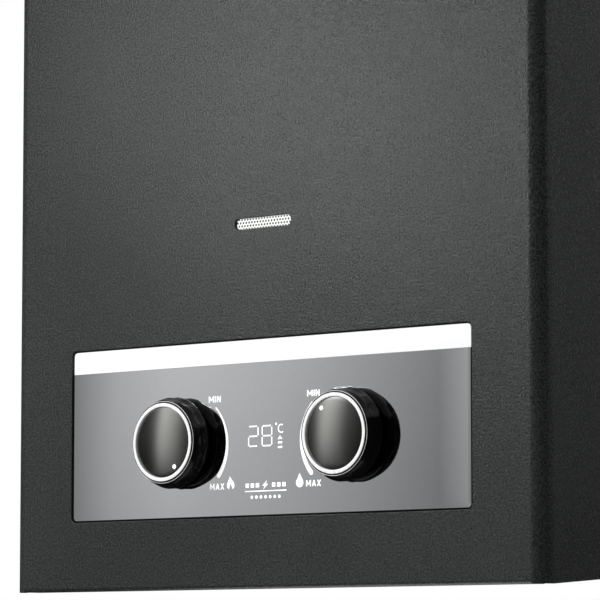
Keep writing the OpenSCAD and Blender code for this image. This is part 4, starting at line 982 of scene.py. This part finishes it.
class HEATER_OT_screws(bpy.types.Operator):
    """Turns the four cover screws with their cross recesses."""

    bl_idname = "heater.screws"
    bl_label = "Cover screws"

    def execute(self, context):
        low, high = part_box("cover_screws")
        z0, z1 = low.z + SCREW_HEAD, high.z - SCREW_HEAD
        seat = Vector((CASE[1].x, (low.y + high.y) / 2, z0))
        profile = [(0, -7), (1.9, -7), (1.9, 0.05), (4.0, 0.05), (4.0, 0.5), (3.85, 1.0), (3.4, 1.5),
                   (2.6, 1.85), (1.5, 1.98), (0, 2.0)]
        screw = lathe("screw", profile, seat, (1, 0, 0), 48)
        for half in ((2.3, 0.42), (0.42, 2.3)):
            size = Vector((0, *half)) * MM
            foot, tip = seat + Vector((0.8 * MM, 0, 0)), seat + Vector((5 * MM, 0, 0))
            combine(screw, block("cross", foot - size, tip + size))
        soften(screw, 0.1 * MM, 1, 50)
        screws = [screw, copied(screw, "screw_b", (0, 0, z1 - z0))]
        screws += [mirrored(piece, piece.name + "_m") for piece in list(screws)]
        dress(join("cover_screw_set", *screws), "steel", "case", "steel", "cover_screws", angle=45)
        return {"FINISHED"}


class HEATER_OT_top(bpy.types.Operator):
    """Folds the rain cap over the flue and sets it on its posts."""

    bl_idname = "heater.top"
    bl_label = "Rain cap"

    def execute(self, context):
        low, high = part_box("rain_cap")
        sheet, skirt, inset = 1.2 * MM, 6 * MM, Vector((10, 6, 0)) * MM
        cap = rounded_block("rain_cap_sheet", (low.x, low.y, high.z - skirt), high, 6 * MM, 6, along(2))
        round_edges(cap, 1.6 * MM, 3, lambda a, b: min(a.z, b.z) > high.z - TINY)
        pick(cap, "FACE", lambda c, n: n.z < -MOSTLY)
        bpy.ops.mesh.delete(type="FACE")
        thicken(cap, sheet)
        tall = (high.z - low.z) / MM
        profile = [(0, 0), (5.2, 0), (5.2, 0.6), (3.6, 1.2), (3, 1.8), (3, tall - 2.6), (4.4, tall - 2.2),
                   (4.4, tall - 1.2), (4.2, tall - 0.1), (4.2, tall + 0.5), (3.6, tall + 1.0),
                   (2.2, tall + 1.35), (0, tall + 1.4)]
        corner = Vector((high.x - inset.x, high.y - inset.y, low.z))
        post = lathe("cap_post", profile, corner, (0, 0, 1), 40)
        across, back = -2 * corner.x, low.y - high.y + 2 * inset.y
        posts = [post, copied(post, "post_b", (0, back, 0)), copied(post, "post_c", (across, 0, 0)),
                 copied(post, "post_d", (across, back, 0))]
        dress(join("rain_cap_set", cap, *posts), "coated_steel", "case", "coated_steel", "rain_cap", angle=40)
        return {"FINISHED"}


class HEATER_OT_handle(bpy.types.Operator):
    """Makes the folding carry handle with its ribbed grip, brackets and riveted pins."""

    bl_idname = "heater.handle"
    bl_label = "Carry handle"

    def frame_piece(self, low, high, thick, pivot, grip_mid):
        """Two arms with their collars, and the bar between them."""
        arm = rounded_block("handle_arm", (high.x - thick, low.y, low.z), high, 5.98 * MM, 10, along(0))
        combine(arm, bar("drill", (high.x, pivot.y, pivot.z), 3.05 * MM, DRILL, "X", 40))
        soften(arm, 0.6 * MM, 3)
        inset = 3
        span = 2 * high.x / MM - 2 * inset
        rod = lathe("handle_bar", [(0, 0), (3.9, 0), (3.9, 2), (4, 30), (4, span), (0, span)],
                    (low.x + inset * MM, grip_mid.y, grip_mid.z), (1, 0, 0), 48)
        profile = [(3.9, 0), (6.4, 0), (6.8, 0.5), (6.8, 1.6), (5.6, 2.6), (4.6, 3.4), (3.9, 3.8)]
        collar = lathe("collar", profile, (high.x - thick, grip_mid.y, grip_mid.z), (-1, 0, 0), 40)
        return join("handle_frame", arm, mirrored(arm, "arm_m"), rod, collar, mirrored(collar, "collar_m"))

    def grip_profile(self, length):
        """The soft grip's outline, with a flange at both ends and ribs between them."""
        ribs, plain = 22, 6
        pitch = (length - 2 * plain) / ribs
        profile = [(4.0, 0.0), (7.0, 0.0), (8.0, 0.4), (8.5, 1.3), (8.5, 4.6), (8.1, 5.6)]
        for i in range(ribs):
            h = plain + i * pitch
            for r, share in ((7.75, 0.15), (7.75, 0.3), (8.3, 0.45), (8.42, 0.6), (8.42, 0.75), (8.3, 0.9)):
                profile.append((r, h + share * pitch))
        return profile + [(8.1, length - 5.6), (8.5, length - 4.6), (8.5, length - 1.3), (8.0, length - 0.4),
                          (7.0, length), (4.0, length), (4.0, 0.0)]

    def bracket(self, low, high, mid, half, pivot):
        """A foot plate with an ear on either side of the arm."""
        ear = 3 * MM
        foot = block("bracket", (mid - half, low.y, low.z), (mid + half, high.y, low.z + 2 * MM))
        ears = []
        for x in (mid - half, mid + half - ear):
            piece = rounded_block("ear", (x, low.y, low.z), (x + ear, high.y, high.z), 7.5 * MM, 8,
                                  lambda a, b: along(0)(a, b) and a.z > high.z - TINY)
            combine(piece, bar("drill", (x, pivot.y, pivot.z), 3.02 * MM, DRILL, "X", 40))
            ears.append(piece)
        for piece in (foot, *ears):
            soften(piece, 0.4 * MM, 2)
        return join("bracket", foot, *ears)

    def execute(self, context):
        low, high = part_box("carry_handle")
        pins_low, pins_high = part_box("handle_pins")
        pivot, thick, out = (pins_low + pins_high) / 2, 4 * MM, (1, 0, 0)
        grip_low, grip_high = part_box("handle_grip")
        grip_mid = (grip_low + grip_high) / 2
        handle = self.frame_piece(low, high, thick, pivot, grip_mid)
        dress(handle, "steel", "handle", "steel", "carry_handle", angle=40)

        profile = self.grip_profile((grip_high.x - grip_low.x) / MM)
        grip = lathe("ribbed_grip", profile, (grip_low.x, grip_mid.y, grip_mid.z), out, 56)
        dress(grip, "grip_rubber", "handle", "grip_rubber", "handle_grip", angle=50)

        foot_low, foot_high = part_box("handle_brackets")
        arm_mid = high.x - thick / 2
        half = foot_high.x - arm_mid
        one = self.bracket(foot_low, foot_high, arm_mid, half, pivot)
        pair = join("bracket_pair", one, mirrored(one, "bracket_m"))
        dress(pair, "steel", "case", "steel", "handle_brackets")

        start = arm_mid - half - 1 * MM
        span = (pins_high.x - start) / MM
        profile = [(0, 0), (2.2, 0.05), (3.4, 0.35), (4.2, 0.9), (3.0, 1.0), (3.0, span - 1.0),
                   (4.2, span - 0.9), (3.4, span - 0.35), (2.2, span - 0.05), (0, span)]
        pin = lathe("pivot_pin", profile, (start, pivot.y, pivot.z), out, 40)
        dress(join("pin_pair", pin, mirrored(pin, "pin_m")), "steel", "case", "steel", "handle_pins")
        return {"FINISHED"}


THREAD_DEPTH = 0.6  # depth of a thread, as a share of its pitch
THREAD_FORM = ((0, 0.12), (1, 0.32), (0, 0.12), (-1, 0.44))  # (depths outwards, pitches up) of each step


def threaded(name, middle, radius, pitch, length):
    """A run of rising thread between a lead chamfer and a relief groove."""
    turns = int((length - 2.2 * MM) / pitch) - 1
    depth = THREAD_DEPTH * pitch
    piece = start_point(name, Vector(middle) + Vector((0, 0, 1.0 * MM)), keep_origin=True)
    bpy.ops.transform.translate(value=(radius - depth, 0, 0))
    for out, up in THREAD_FORM * turns:
        draw_on((out * depth, 0, up * pitch))
    fresh()
    screw = piece.modifiers.new("Thread", "SCREW")
    screw.angle, screw.screw_offset, screw.steps, screw.render_steps = TURN, pitch, 48, 48
    screw.use_merge_vertices, screw.merge_threshold = True, DOUBLES
    apply_all(piece)
    settle()
    bpy.ops.object.mode_set(mode="EDIT")
    close_up()
    return piece


class HEATER_OT_fittings(bpy.types.Operator):
    """Turns the three threaded fittings and the drain plug under the bottom plate."""

    bl_idname = "heater.fittings"
    bl_label = "Fittings"

    def hexagon(self, middle, across, tall):
        """A chamfered hexagon that stands on the middle."""
        corner = across / 2 / math.cos(math.pi / 6)
        nut = bar("hexagon", middle + Vector((0, 0, tall * MM / 2)), corner * MM, tall * MM, "Z", 6)
        flat = corner - across / 2
        wide, slope = corner + 0.1, flat * 0.62
        form = lathe("form", [(0, 0), (corner - flat, 0), (wide, slope), (wide, tall - slope),
                              (corner - flat, tall), (0, tall)], middle, (0, 0, 1), 72)
        combine(nut, form, "INTERSECT")
        return nut

    def fitting(self, node, radius, pitch):
        """A hollow stub with its thread below and its hexagon above, up to the pipe's seat."""
        low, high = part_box(node)
        foot = Vector(((low.x + high.x) / 2, (low.y + high.y) / 2, low.z))
        hollow, neck, rise, tall = 6.0, 10.0, 16.0, (high.z - low.z) / MM
        root = radius - THREAD_DEPTH * pitch / MM
        steps = [(hollow, 0), (root - 0.5, 0), (root, 0.6), (root, 1.2), (root - 0.02, rise - 1.6),
                 (root - 0.5, rise - 1.4), (root - 0.5, rise + 0.2), (9.0, rise), (9.0, rise + 12.1),
                 (neck, rise + 12.1)]
        if node == "hot_outlet":
            steps += [(neck, rise + 13.0), (neck + 3, rise + 13.0), (neck + 3, tall - 0.6),
                      (neck + 2.4, tall)]
        else:
            steps += [(neck, rise + 20.5), (neck - 0.4, rise + 20.9)]
        steps += [(hollow, steps[-1][1]), (hollow, 0)]
        core = lathe("core", steps, foot, (0, 0, 1), 64)
        thread = threaded("thread", foot, radius * MM, pitch, rise * MM)
        seat = foot + Vector((0, 0, rise * MM))
        nut = self.hexagon(seat, 27, 12)
        combine(nut, bar("drill", seat, 8.8 * MM, DRILL, "Z", 64))
        soften(nut, 0.25 * MM, 2)
        dress(join(node + "_fitting", core, thread, nut), "brass", "case", "brass", node, angle=40)

    def drain_plug(self):
        """A knurled plug with a thin collar."""
        low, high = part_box("drain_plug")
        foot = Vector(((low.x + high.x) / 2, (low.y + high.y) / 2, low.z))
        steps, tall = 96, (high.z - low.z) / MM
        profile = [(0, 0.8), (4.5, 0.8), (5.2, 0.1), (7.9, 0.0), (8.9, 0.8), (9.0, 1.2), (9.0, 10.2),
                   (8.6, 10.9), (7.0, 11.4), (7.0, 12.0), (5.0, 12.05), (5.0, tall), (0, tall)]
        plug = lathe("drain_plug_head", profile, foot, (0, 0, 1), steps)
        knurl = (1, 0.985, 0.95, 0.985)
        for vertex in plug.data.vertices:
            dx, dy, up = vertex.co.x - foot.x, vertex.co.y - foot.y, vertex.co.z - foot.z
            if math.hypot(dx, dy) > 8.7 * MM and 1.0 * MM < up < 10.5 * MM:
                shrink = knurl[round(math.atan2(dy, dx) / TURN * steps) % len(knurl)]
                vertex.co.x, vertex.co.y = foot.x + dx * shrink, foot.y + dy * shrink
        dress(plug, "brass", "case", "brass", "drain_plug", angle=40)

    def execute(self, context):
        s = context.scene.heater_fitting
        self.fitting("gas_inlet", s.gas_radius / MM, s.gas_pitch)
        self.fitting("cold_inlet", s.water_radius / MM, s.water_pitch)
        self.fitting("hot_outlet", s.water_radius / MM, s.water_pitch)
        self.drain_plug()
        return {"FINISHED"}


class HEATER_OT_door(bpy.types.Operator):
    """Moulds the battery door with its hinge barrel, ribs and finger catch."""

    bl_idname = "heater.door"
    bl_label = "Battery door"

    def execute(self, context):
        low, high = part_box("battery_door")
        pin_low, pin_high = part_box("door_pin")
        pin, under = (pin_low + pin_high) / 2, high.z - 2 * MM
        barrel, half = 3, (high.y - low.y) / 2 - 8.5 * MM
        panel = rounded_block("door_panel", (pin.x + barrel * MM + 0.3 * MM, low.y, under), high, 3 * MM, 6,
                              lambda a, b: along(2)(a, b) and a.x > high.x - TINY)
        soften(panel, 0.5 * MM, 3)
        pieces = [panel]
        for i in range(5):
            middle = Vector((high.x - (6 + 3.2 * i) * MM, pin.y, under))
            rib = block("rib", middle - Vector((0.8, 14, 0.7)) * MM, middle + Vector((0.8, 14, 0.4)) * MM)
            soften(rib, 0.35 * MM, 3)
            pieces.append(rib)
        tongue = block("tongue", (pin.x + 0.5 * MM, pin.y - half, under),
                       (pin.x + 2 * barrel * MM, pin.y + half, high.z - 0.3 * MM))
        soften(tongue, 0.3 * MM, 2)
        bore, shoulder, span = 1.55, 2.7, 2 * half / MM
        profile = [(bore, 0), (shoulder, 0), (barrel, 0.3), (barrel, span - 0.3), (shoulder, span),
                   (bore, span), (bore, 0)]
        knuckle = lathe("knuckle", profile, (pin.x, pin.y - half, pin.z), (0, 1, 0), 40)
        door = join("battery_door_panel", *pieces, tongue, knuckle)
        dress(door, "black_plastic", "door", "black_plastic", "battery_door", angle=40)
        return {"FINISHED"}


class HEATER_OT_inner(bpy.types.Operator):
    """Gives the nodes that keep their own shape the finish of their material slot."""

    bl_idname = "heater.inner"
    bl_label = "Inner parts"

    def execute(self, context):
        slots = {part["node"]: part["material_slot"] for part in frame["record"]["subparts"]}
        for name, piece in frame["nodes"].items():
            if name not in slots:
                raise RuntimeError(name + " has no material slot")
            if not piece.material_slots:
                raise RuntimeError(name + " has no material to change")
            for place in piece.material_slots:
                place.material = finish_for(slots[name])
        return {"FINISHED"}


# ---------- stage ----------

# Grey levels of the reflections, each a list of (place, level) stops: round the screen in degrees, up the
# screen in metres, and over the width and the height of the sheen panel.
SURROUND = ((-180, 0.9), (-152, 0.9), (-138, 0.05), (-47, 0.04), (-44.5, 0.12), (-43, 0.34), (-42, 0.74),
            (-40.5, 0.82), (-37.5, 0.66), (-34, 0.36), (-31, 0.10), (-26, 0.04), (-20, 0.02), (80, 0.02),
            (140, 0.05), (152, 0.06), (165, 0.5), (180, 0.9))
RISE = ((-0.6, 0.30), (-0.55, 0.45), (-0.32, 1.0), (-0.15, 1.26), (0.12, 1.6), (0.5, 1.8))
SHEEN_WIDE = ((0, 0), (0.35, 0.8), (0.6, 1.0), (0.8, 0.85), (1, 0))
SHEEN_TALL = ((0, 0), (0.08, 0.25), (0.2, 1.0), (0.55, 0.95), (0.8, 0.4), (1, 0))


def curve(tree, value, unit, stops):
    """A grey level that follows a value through a list of (value, level) stops."""
    low, high = unit(stops[0][0]), unit(stops[-1][0])
    share = add_node(tree, "MapRange", {"Value": value, "From Min": low, "From Max": high})
    ramp = add_node(tree, "ValToRGB", {0: share.outputs[0]})
    steps = ramp.color_ramp.elements
    steps[0].color, steps[-1].color = (*grey(stops[0][1]), 1), (*grey(stops[-1][1]), 1)
    for place, level in stops[1:-1]:
        steps.new((unit(place) - low) / (high - low)).color = (*grey(level), 1)
    return add_node(tree, "RGBToBW", {0: ramp.outputs["Color"]}).outputs[0]


def compass(azimuth, elevation=0.0):
    """The way out from the heater at an azimuth and an elevation in degrees. Its front faces azimuth 0."""
    a, e = math.radians(azimuth), math.radians(elevation)
    return Vector((math.sin(a) * math.cos(e), -math.cos(a) * math.cos(e), math.sin(e)))


class HEATER_OT_stage(bpy.types.Operator):
    """Sets the floor, the soft lamps, the reflecting cards and the camera."""

    bl_idname = "heater.stage"
    bl_label = "Stage"

    def lamp(self, name, away, distance, size, power, aim, shine=True, spread=True):
        """A soft panel that faces the heater, for shine, for spread light, or for both."""
        fresh()
        bpy.ops.object.light_add(type="AREA", location=Vector(aim) + away * distance)
        light = bpy.context.object
        light.name = light.data.name = name
        light.data.shape = "RECTANGLE"
        light.data.size, light.data.size_y = size
        light.data.energy = power
        light.rotation_mode = "QUATERNION"
        light.rotation_quaternion = (-away).to_track_quat("-Z", "Y")
        light.visible_camera = False
        light.visible_glossy, light.visible_diffuse = shine, spread

    def seen(self, tree):
        """One for a ray from the camera, a reflection or a clear piece, and nought for spread light."""
        rays = add_node(tree, "LightPath").outputs
        direct = maths(tree, "MAXIMUM", rays["Is Camera Ray"], rays["Is Glossy Ray"])
        return maths(tree, "MAXIMUM", direct, rays["Is Transmission Ray"])

    def glow(self, name, piece, build, clear=False):
        """Makes a stage piece glow in reflections alone, as strongly as build says from its coordinates."""
        made = bpy.data.materials.new(name)
        made.use_nodes = True
        tree = made.node_tree
        tree.nodes.clear()
        shine = add_node(tree, "Emission", {"Color": (1, 1, 1, 1), "Strength": build(tree)})
        if clear:
            see_through = add_node(tree, "BsdfTransparent")
            shine = add_node(tree, "AddShader", {0: shine.outputs[0], 1: see_through.outputs[0]})
        add_node(tree, "OutputMaterial", {"Surface": shine.outputs[0]})
        piece.data.materials.append(made)
        piece.visible_camera = piece.visible_diffuse = False
        piece.visible_shadow = piece.visible_transmission = False

    def sheen_panel(self, level):
        """A graded panel close to the left front, which the coat shines in."""
        azimuth, middle, distance, aside = -38, Vector((0, -0.15, -0.155)), 0.45, 0.028
        away, side = compass(azimuth), compass(azimuth + 90)
        fresh()
        bpy.ops.mesh.primitive_plane_add(size=1, location=middle + away * distance + side * aside)
        panel = named("sheen_panel")
        panel.scale = (0.095, 0.22, 1)
        panel.rotation_mode = "QUATERNION"
        panel.rotation_quaternion = (-away).to_track_quat("Z", "Y")
        settle()

        def strength(tree):
            parts = add_node(tree, "SeparateXYZ", {0: add_node(tree, "TexCoord").outputs["UV"]}).outputs
            wide = curve(tree, parts["X"], float, SHEEN_WIDE)
            tall = curve(tree, parts["Y"], float, SHEEN_TALL)
            return maths(tree, "MULTIPLY", maths(tree, "MULTIPLY", wide, tall), level)

        self.glow("Sheen panel", panel, strength, clear=True)

    def surround(self, floor_z):
        """A dark round screen with a bright panel at the left front and a pale back, and a dark apron."""
        radius, low, high = 2.4, floor_z + 0.01, 1.2
        fresh()
        bpy.ops.mesh.primitive_cylinder_add(vertices=128, radius=radius, depth=high - low,
                                            end_fill_type="NOTHING", location=(0, 0, (low + high) / 2))
        settle()
        screen = named("surround")

        def strength(tree):
            parts = add_node(tree, "SeparateXYZ", {0: add_node(tree, "TexCoord").outputs["Object"]}).outputs
            turn = maths(tree, "ARCTAN2", parts["X"], maths(tree, "MULTIPLY", parts["Y"], -1.0))
            level = curve(tree, turn, math.radians, SURROUND)
            return maths(tree, "MULTIPLY", level, curve(tree, parts["Z"], float, RISE))

        self.glow("Surround", screen, strength)
        fresh()
        bpy.ops.mesh.primitive_circle_add(vertices=64, radius=radius - 0.02, fill_type="NGON",
                                          location=(0, 0, low))
        settle()
        apron = named("dark_apron")
        bpy.ops.object.mode_set(mode="EDIT")
        bpy.ops.mesh.select_all(action="SELECT")
        bpy.ops.mesh.inset(thickness=2.16)
        bpy.ops.mesh.delete(type="FACE")
        fresh()
        self.glow("Apron", apron, lambda tree: 0.03)

    def floor(self, s):
        """A pale floor that keeps the heater's shadow, and that is clear from below."""
        fresh()
        bpy.ops.mesh.primitive_plane_add(size=12, location=(0, 0, s.floor_z))
        settle()
        floor = named("studio_floor")
        pale = bpy.data.materials.new("Studio floor")
        pale.use_nodes = True
        tree = pale.node_tree
        shader = tree.nodes["Principled BSDF"]
        speck = noise(tree, add_node(tree, "TexCoord").outputs["Object"], 3.0, 3.0)
        colour = add_node(tree, "Mix", {0: speck}, data_type="RGBA")
        colour.inputs[6].default_value = (*shade(s.floor, 0.985), 1)
        colour.inputs[7].default_value = (*s.floor, 1)
        tree.links.new(colour.outputs[2], shader.inputs["Base Color"])
        shader.inputs["Roughness"].default_value = 0.9
        shader.inputs["Specular IOR Level"].default_value = 0.1
        lift = maths(tree, "MULTIPLY", self.seen(tree), s.floor_lift)
        lift = add_node(tree, "Emission", {"Color": (1, 1, 1, 1), "Strength": lift})
        top = add_node(tree, "AddShader", {0: shader.outputs[0], 1: lift.outputs[0]})
        under = add_node(tree, "NewGeometry").outputs["Backfacing"]
        clear = add_node(tree, "BsdfTransparent")
        either = add_node(tree, "MixShader", {0: under, 1: top.outputs[0], 2: clear.outputs[0]})
        tree.links.new(either.outputs[0], tree.nodes["Material Output"].inputs["Surface"])
        floor.data.materials.append(pale)

    def studio(self, scene, fill):
        """A world that is white to look at and lights the heater at a plain level."""
        world = scene.world or bpy.data.worlds.new("Studio")
        scene.world = world
        world.use_nodes = True
        tree = world.node_tree
        tree.nodes.clear()
        level = add_node(tree, "MapRange", {"Value": self.seen(tree), "To Min": fill, "To Max": 1.0})
        sky = add_node(tree, "Background", {"Color": (1, 1, 1, 1), "Strength": level.outputs[0]})
        add_node(tree, "OutputWorld", {"Surface": sky.outputs[0]})

    def execute(self, context):
        s, scene = context.scene.heater_stage, context.scene
        self.floor(s)
        self.studio(scene, s.fill)
        self.lamp("Key", compass(-48, 24), 3.5, (2.0, 1.7), s.key, (0, -0.15, -0.3), shine=False)
        self.lamp("Rim", compass(119, 24), 1.3, (0.22, 0.9), s.rim, (0.15, -0.1, -0.25), spread=False)
        self.surround(s.floor_z)
        self.sheen_panel(s.sheen)

        fresh()
        bpy.ops.object.camera_add(location=s.camera_at, rotation=(math.pi / 2 + s.pitch, 0, s.yaw))
        camera = bpy.context.object
        camera.name = camera.data.name = "Camera"
        camera.data.sensor_width, camera.data.lens = 36.0, s.lens
        camera.data.clip_start, camera.data.clip_end = 0.05, 50
        scene.camera = camera
        scene.view_settings.view_transform = "Standard"
        return {"FINISHED"}


class HEATER_PT_parts(bpy.types.Panel):
    """Lists the parts of the heater and their settings."""

    bl_label = "Water heater"
    bl_idname = "HEATER_PT_parts"
    bl_space_type = "VIEW_3D"
    bl_region_type = "UI"
    bl_category = "Heater"

    def draw(self, context):
        for step in STEPS:
            self.layout.operator(step.bl_idname)
        for key, group in SETTINGS.items():
            box = self.layout.box()
            for prop in group.__annotations__:
                box.prop(getattr(context.scene, key), prop)


STEPS = (HEATER_OT_case, HEATER_OT_panel, HEATER_OT_marks, HEATER_OT_knobs, HEATER_OT_screws, HEATER_OT_top,
         HEATER_OT_handle, HEATER_OT_fittings, HEATER_OT_door, HEATER_OT_inner, HEATER_OT_stage)
CLASSES = (*SETTINGS.values(), *STEPS, HEATER_PT_parts)


def register():
    """Adds the heater's classes and settings."""
    for cls in CLASSES:
        bpy.utils.register_class(cls)
    for key, group in SETTINGS.items():
        setattr(bpy.types.Scene, key, PointerProperty(type=group))


def unregister():
    """Takes the heater's settings and classes away again."""
    for key in SETTINGS:
        delattr(bpy.types.Scene, key)
    for cls in reversed(CLASSES):
        bpy.utils.unregister_class(cls)


def main():
    """Makes every part in order."""
    register()
    for step in STEPS:
        family, name = step.bl_idname.split(".")
        getattr(getattr(bpy.ops, family), name)()


if __name__ == "__main__":
    main()
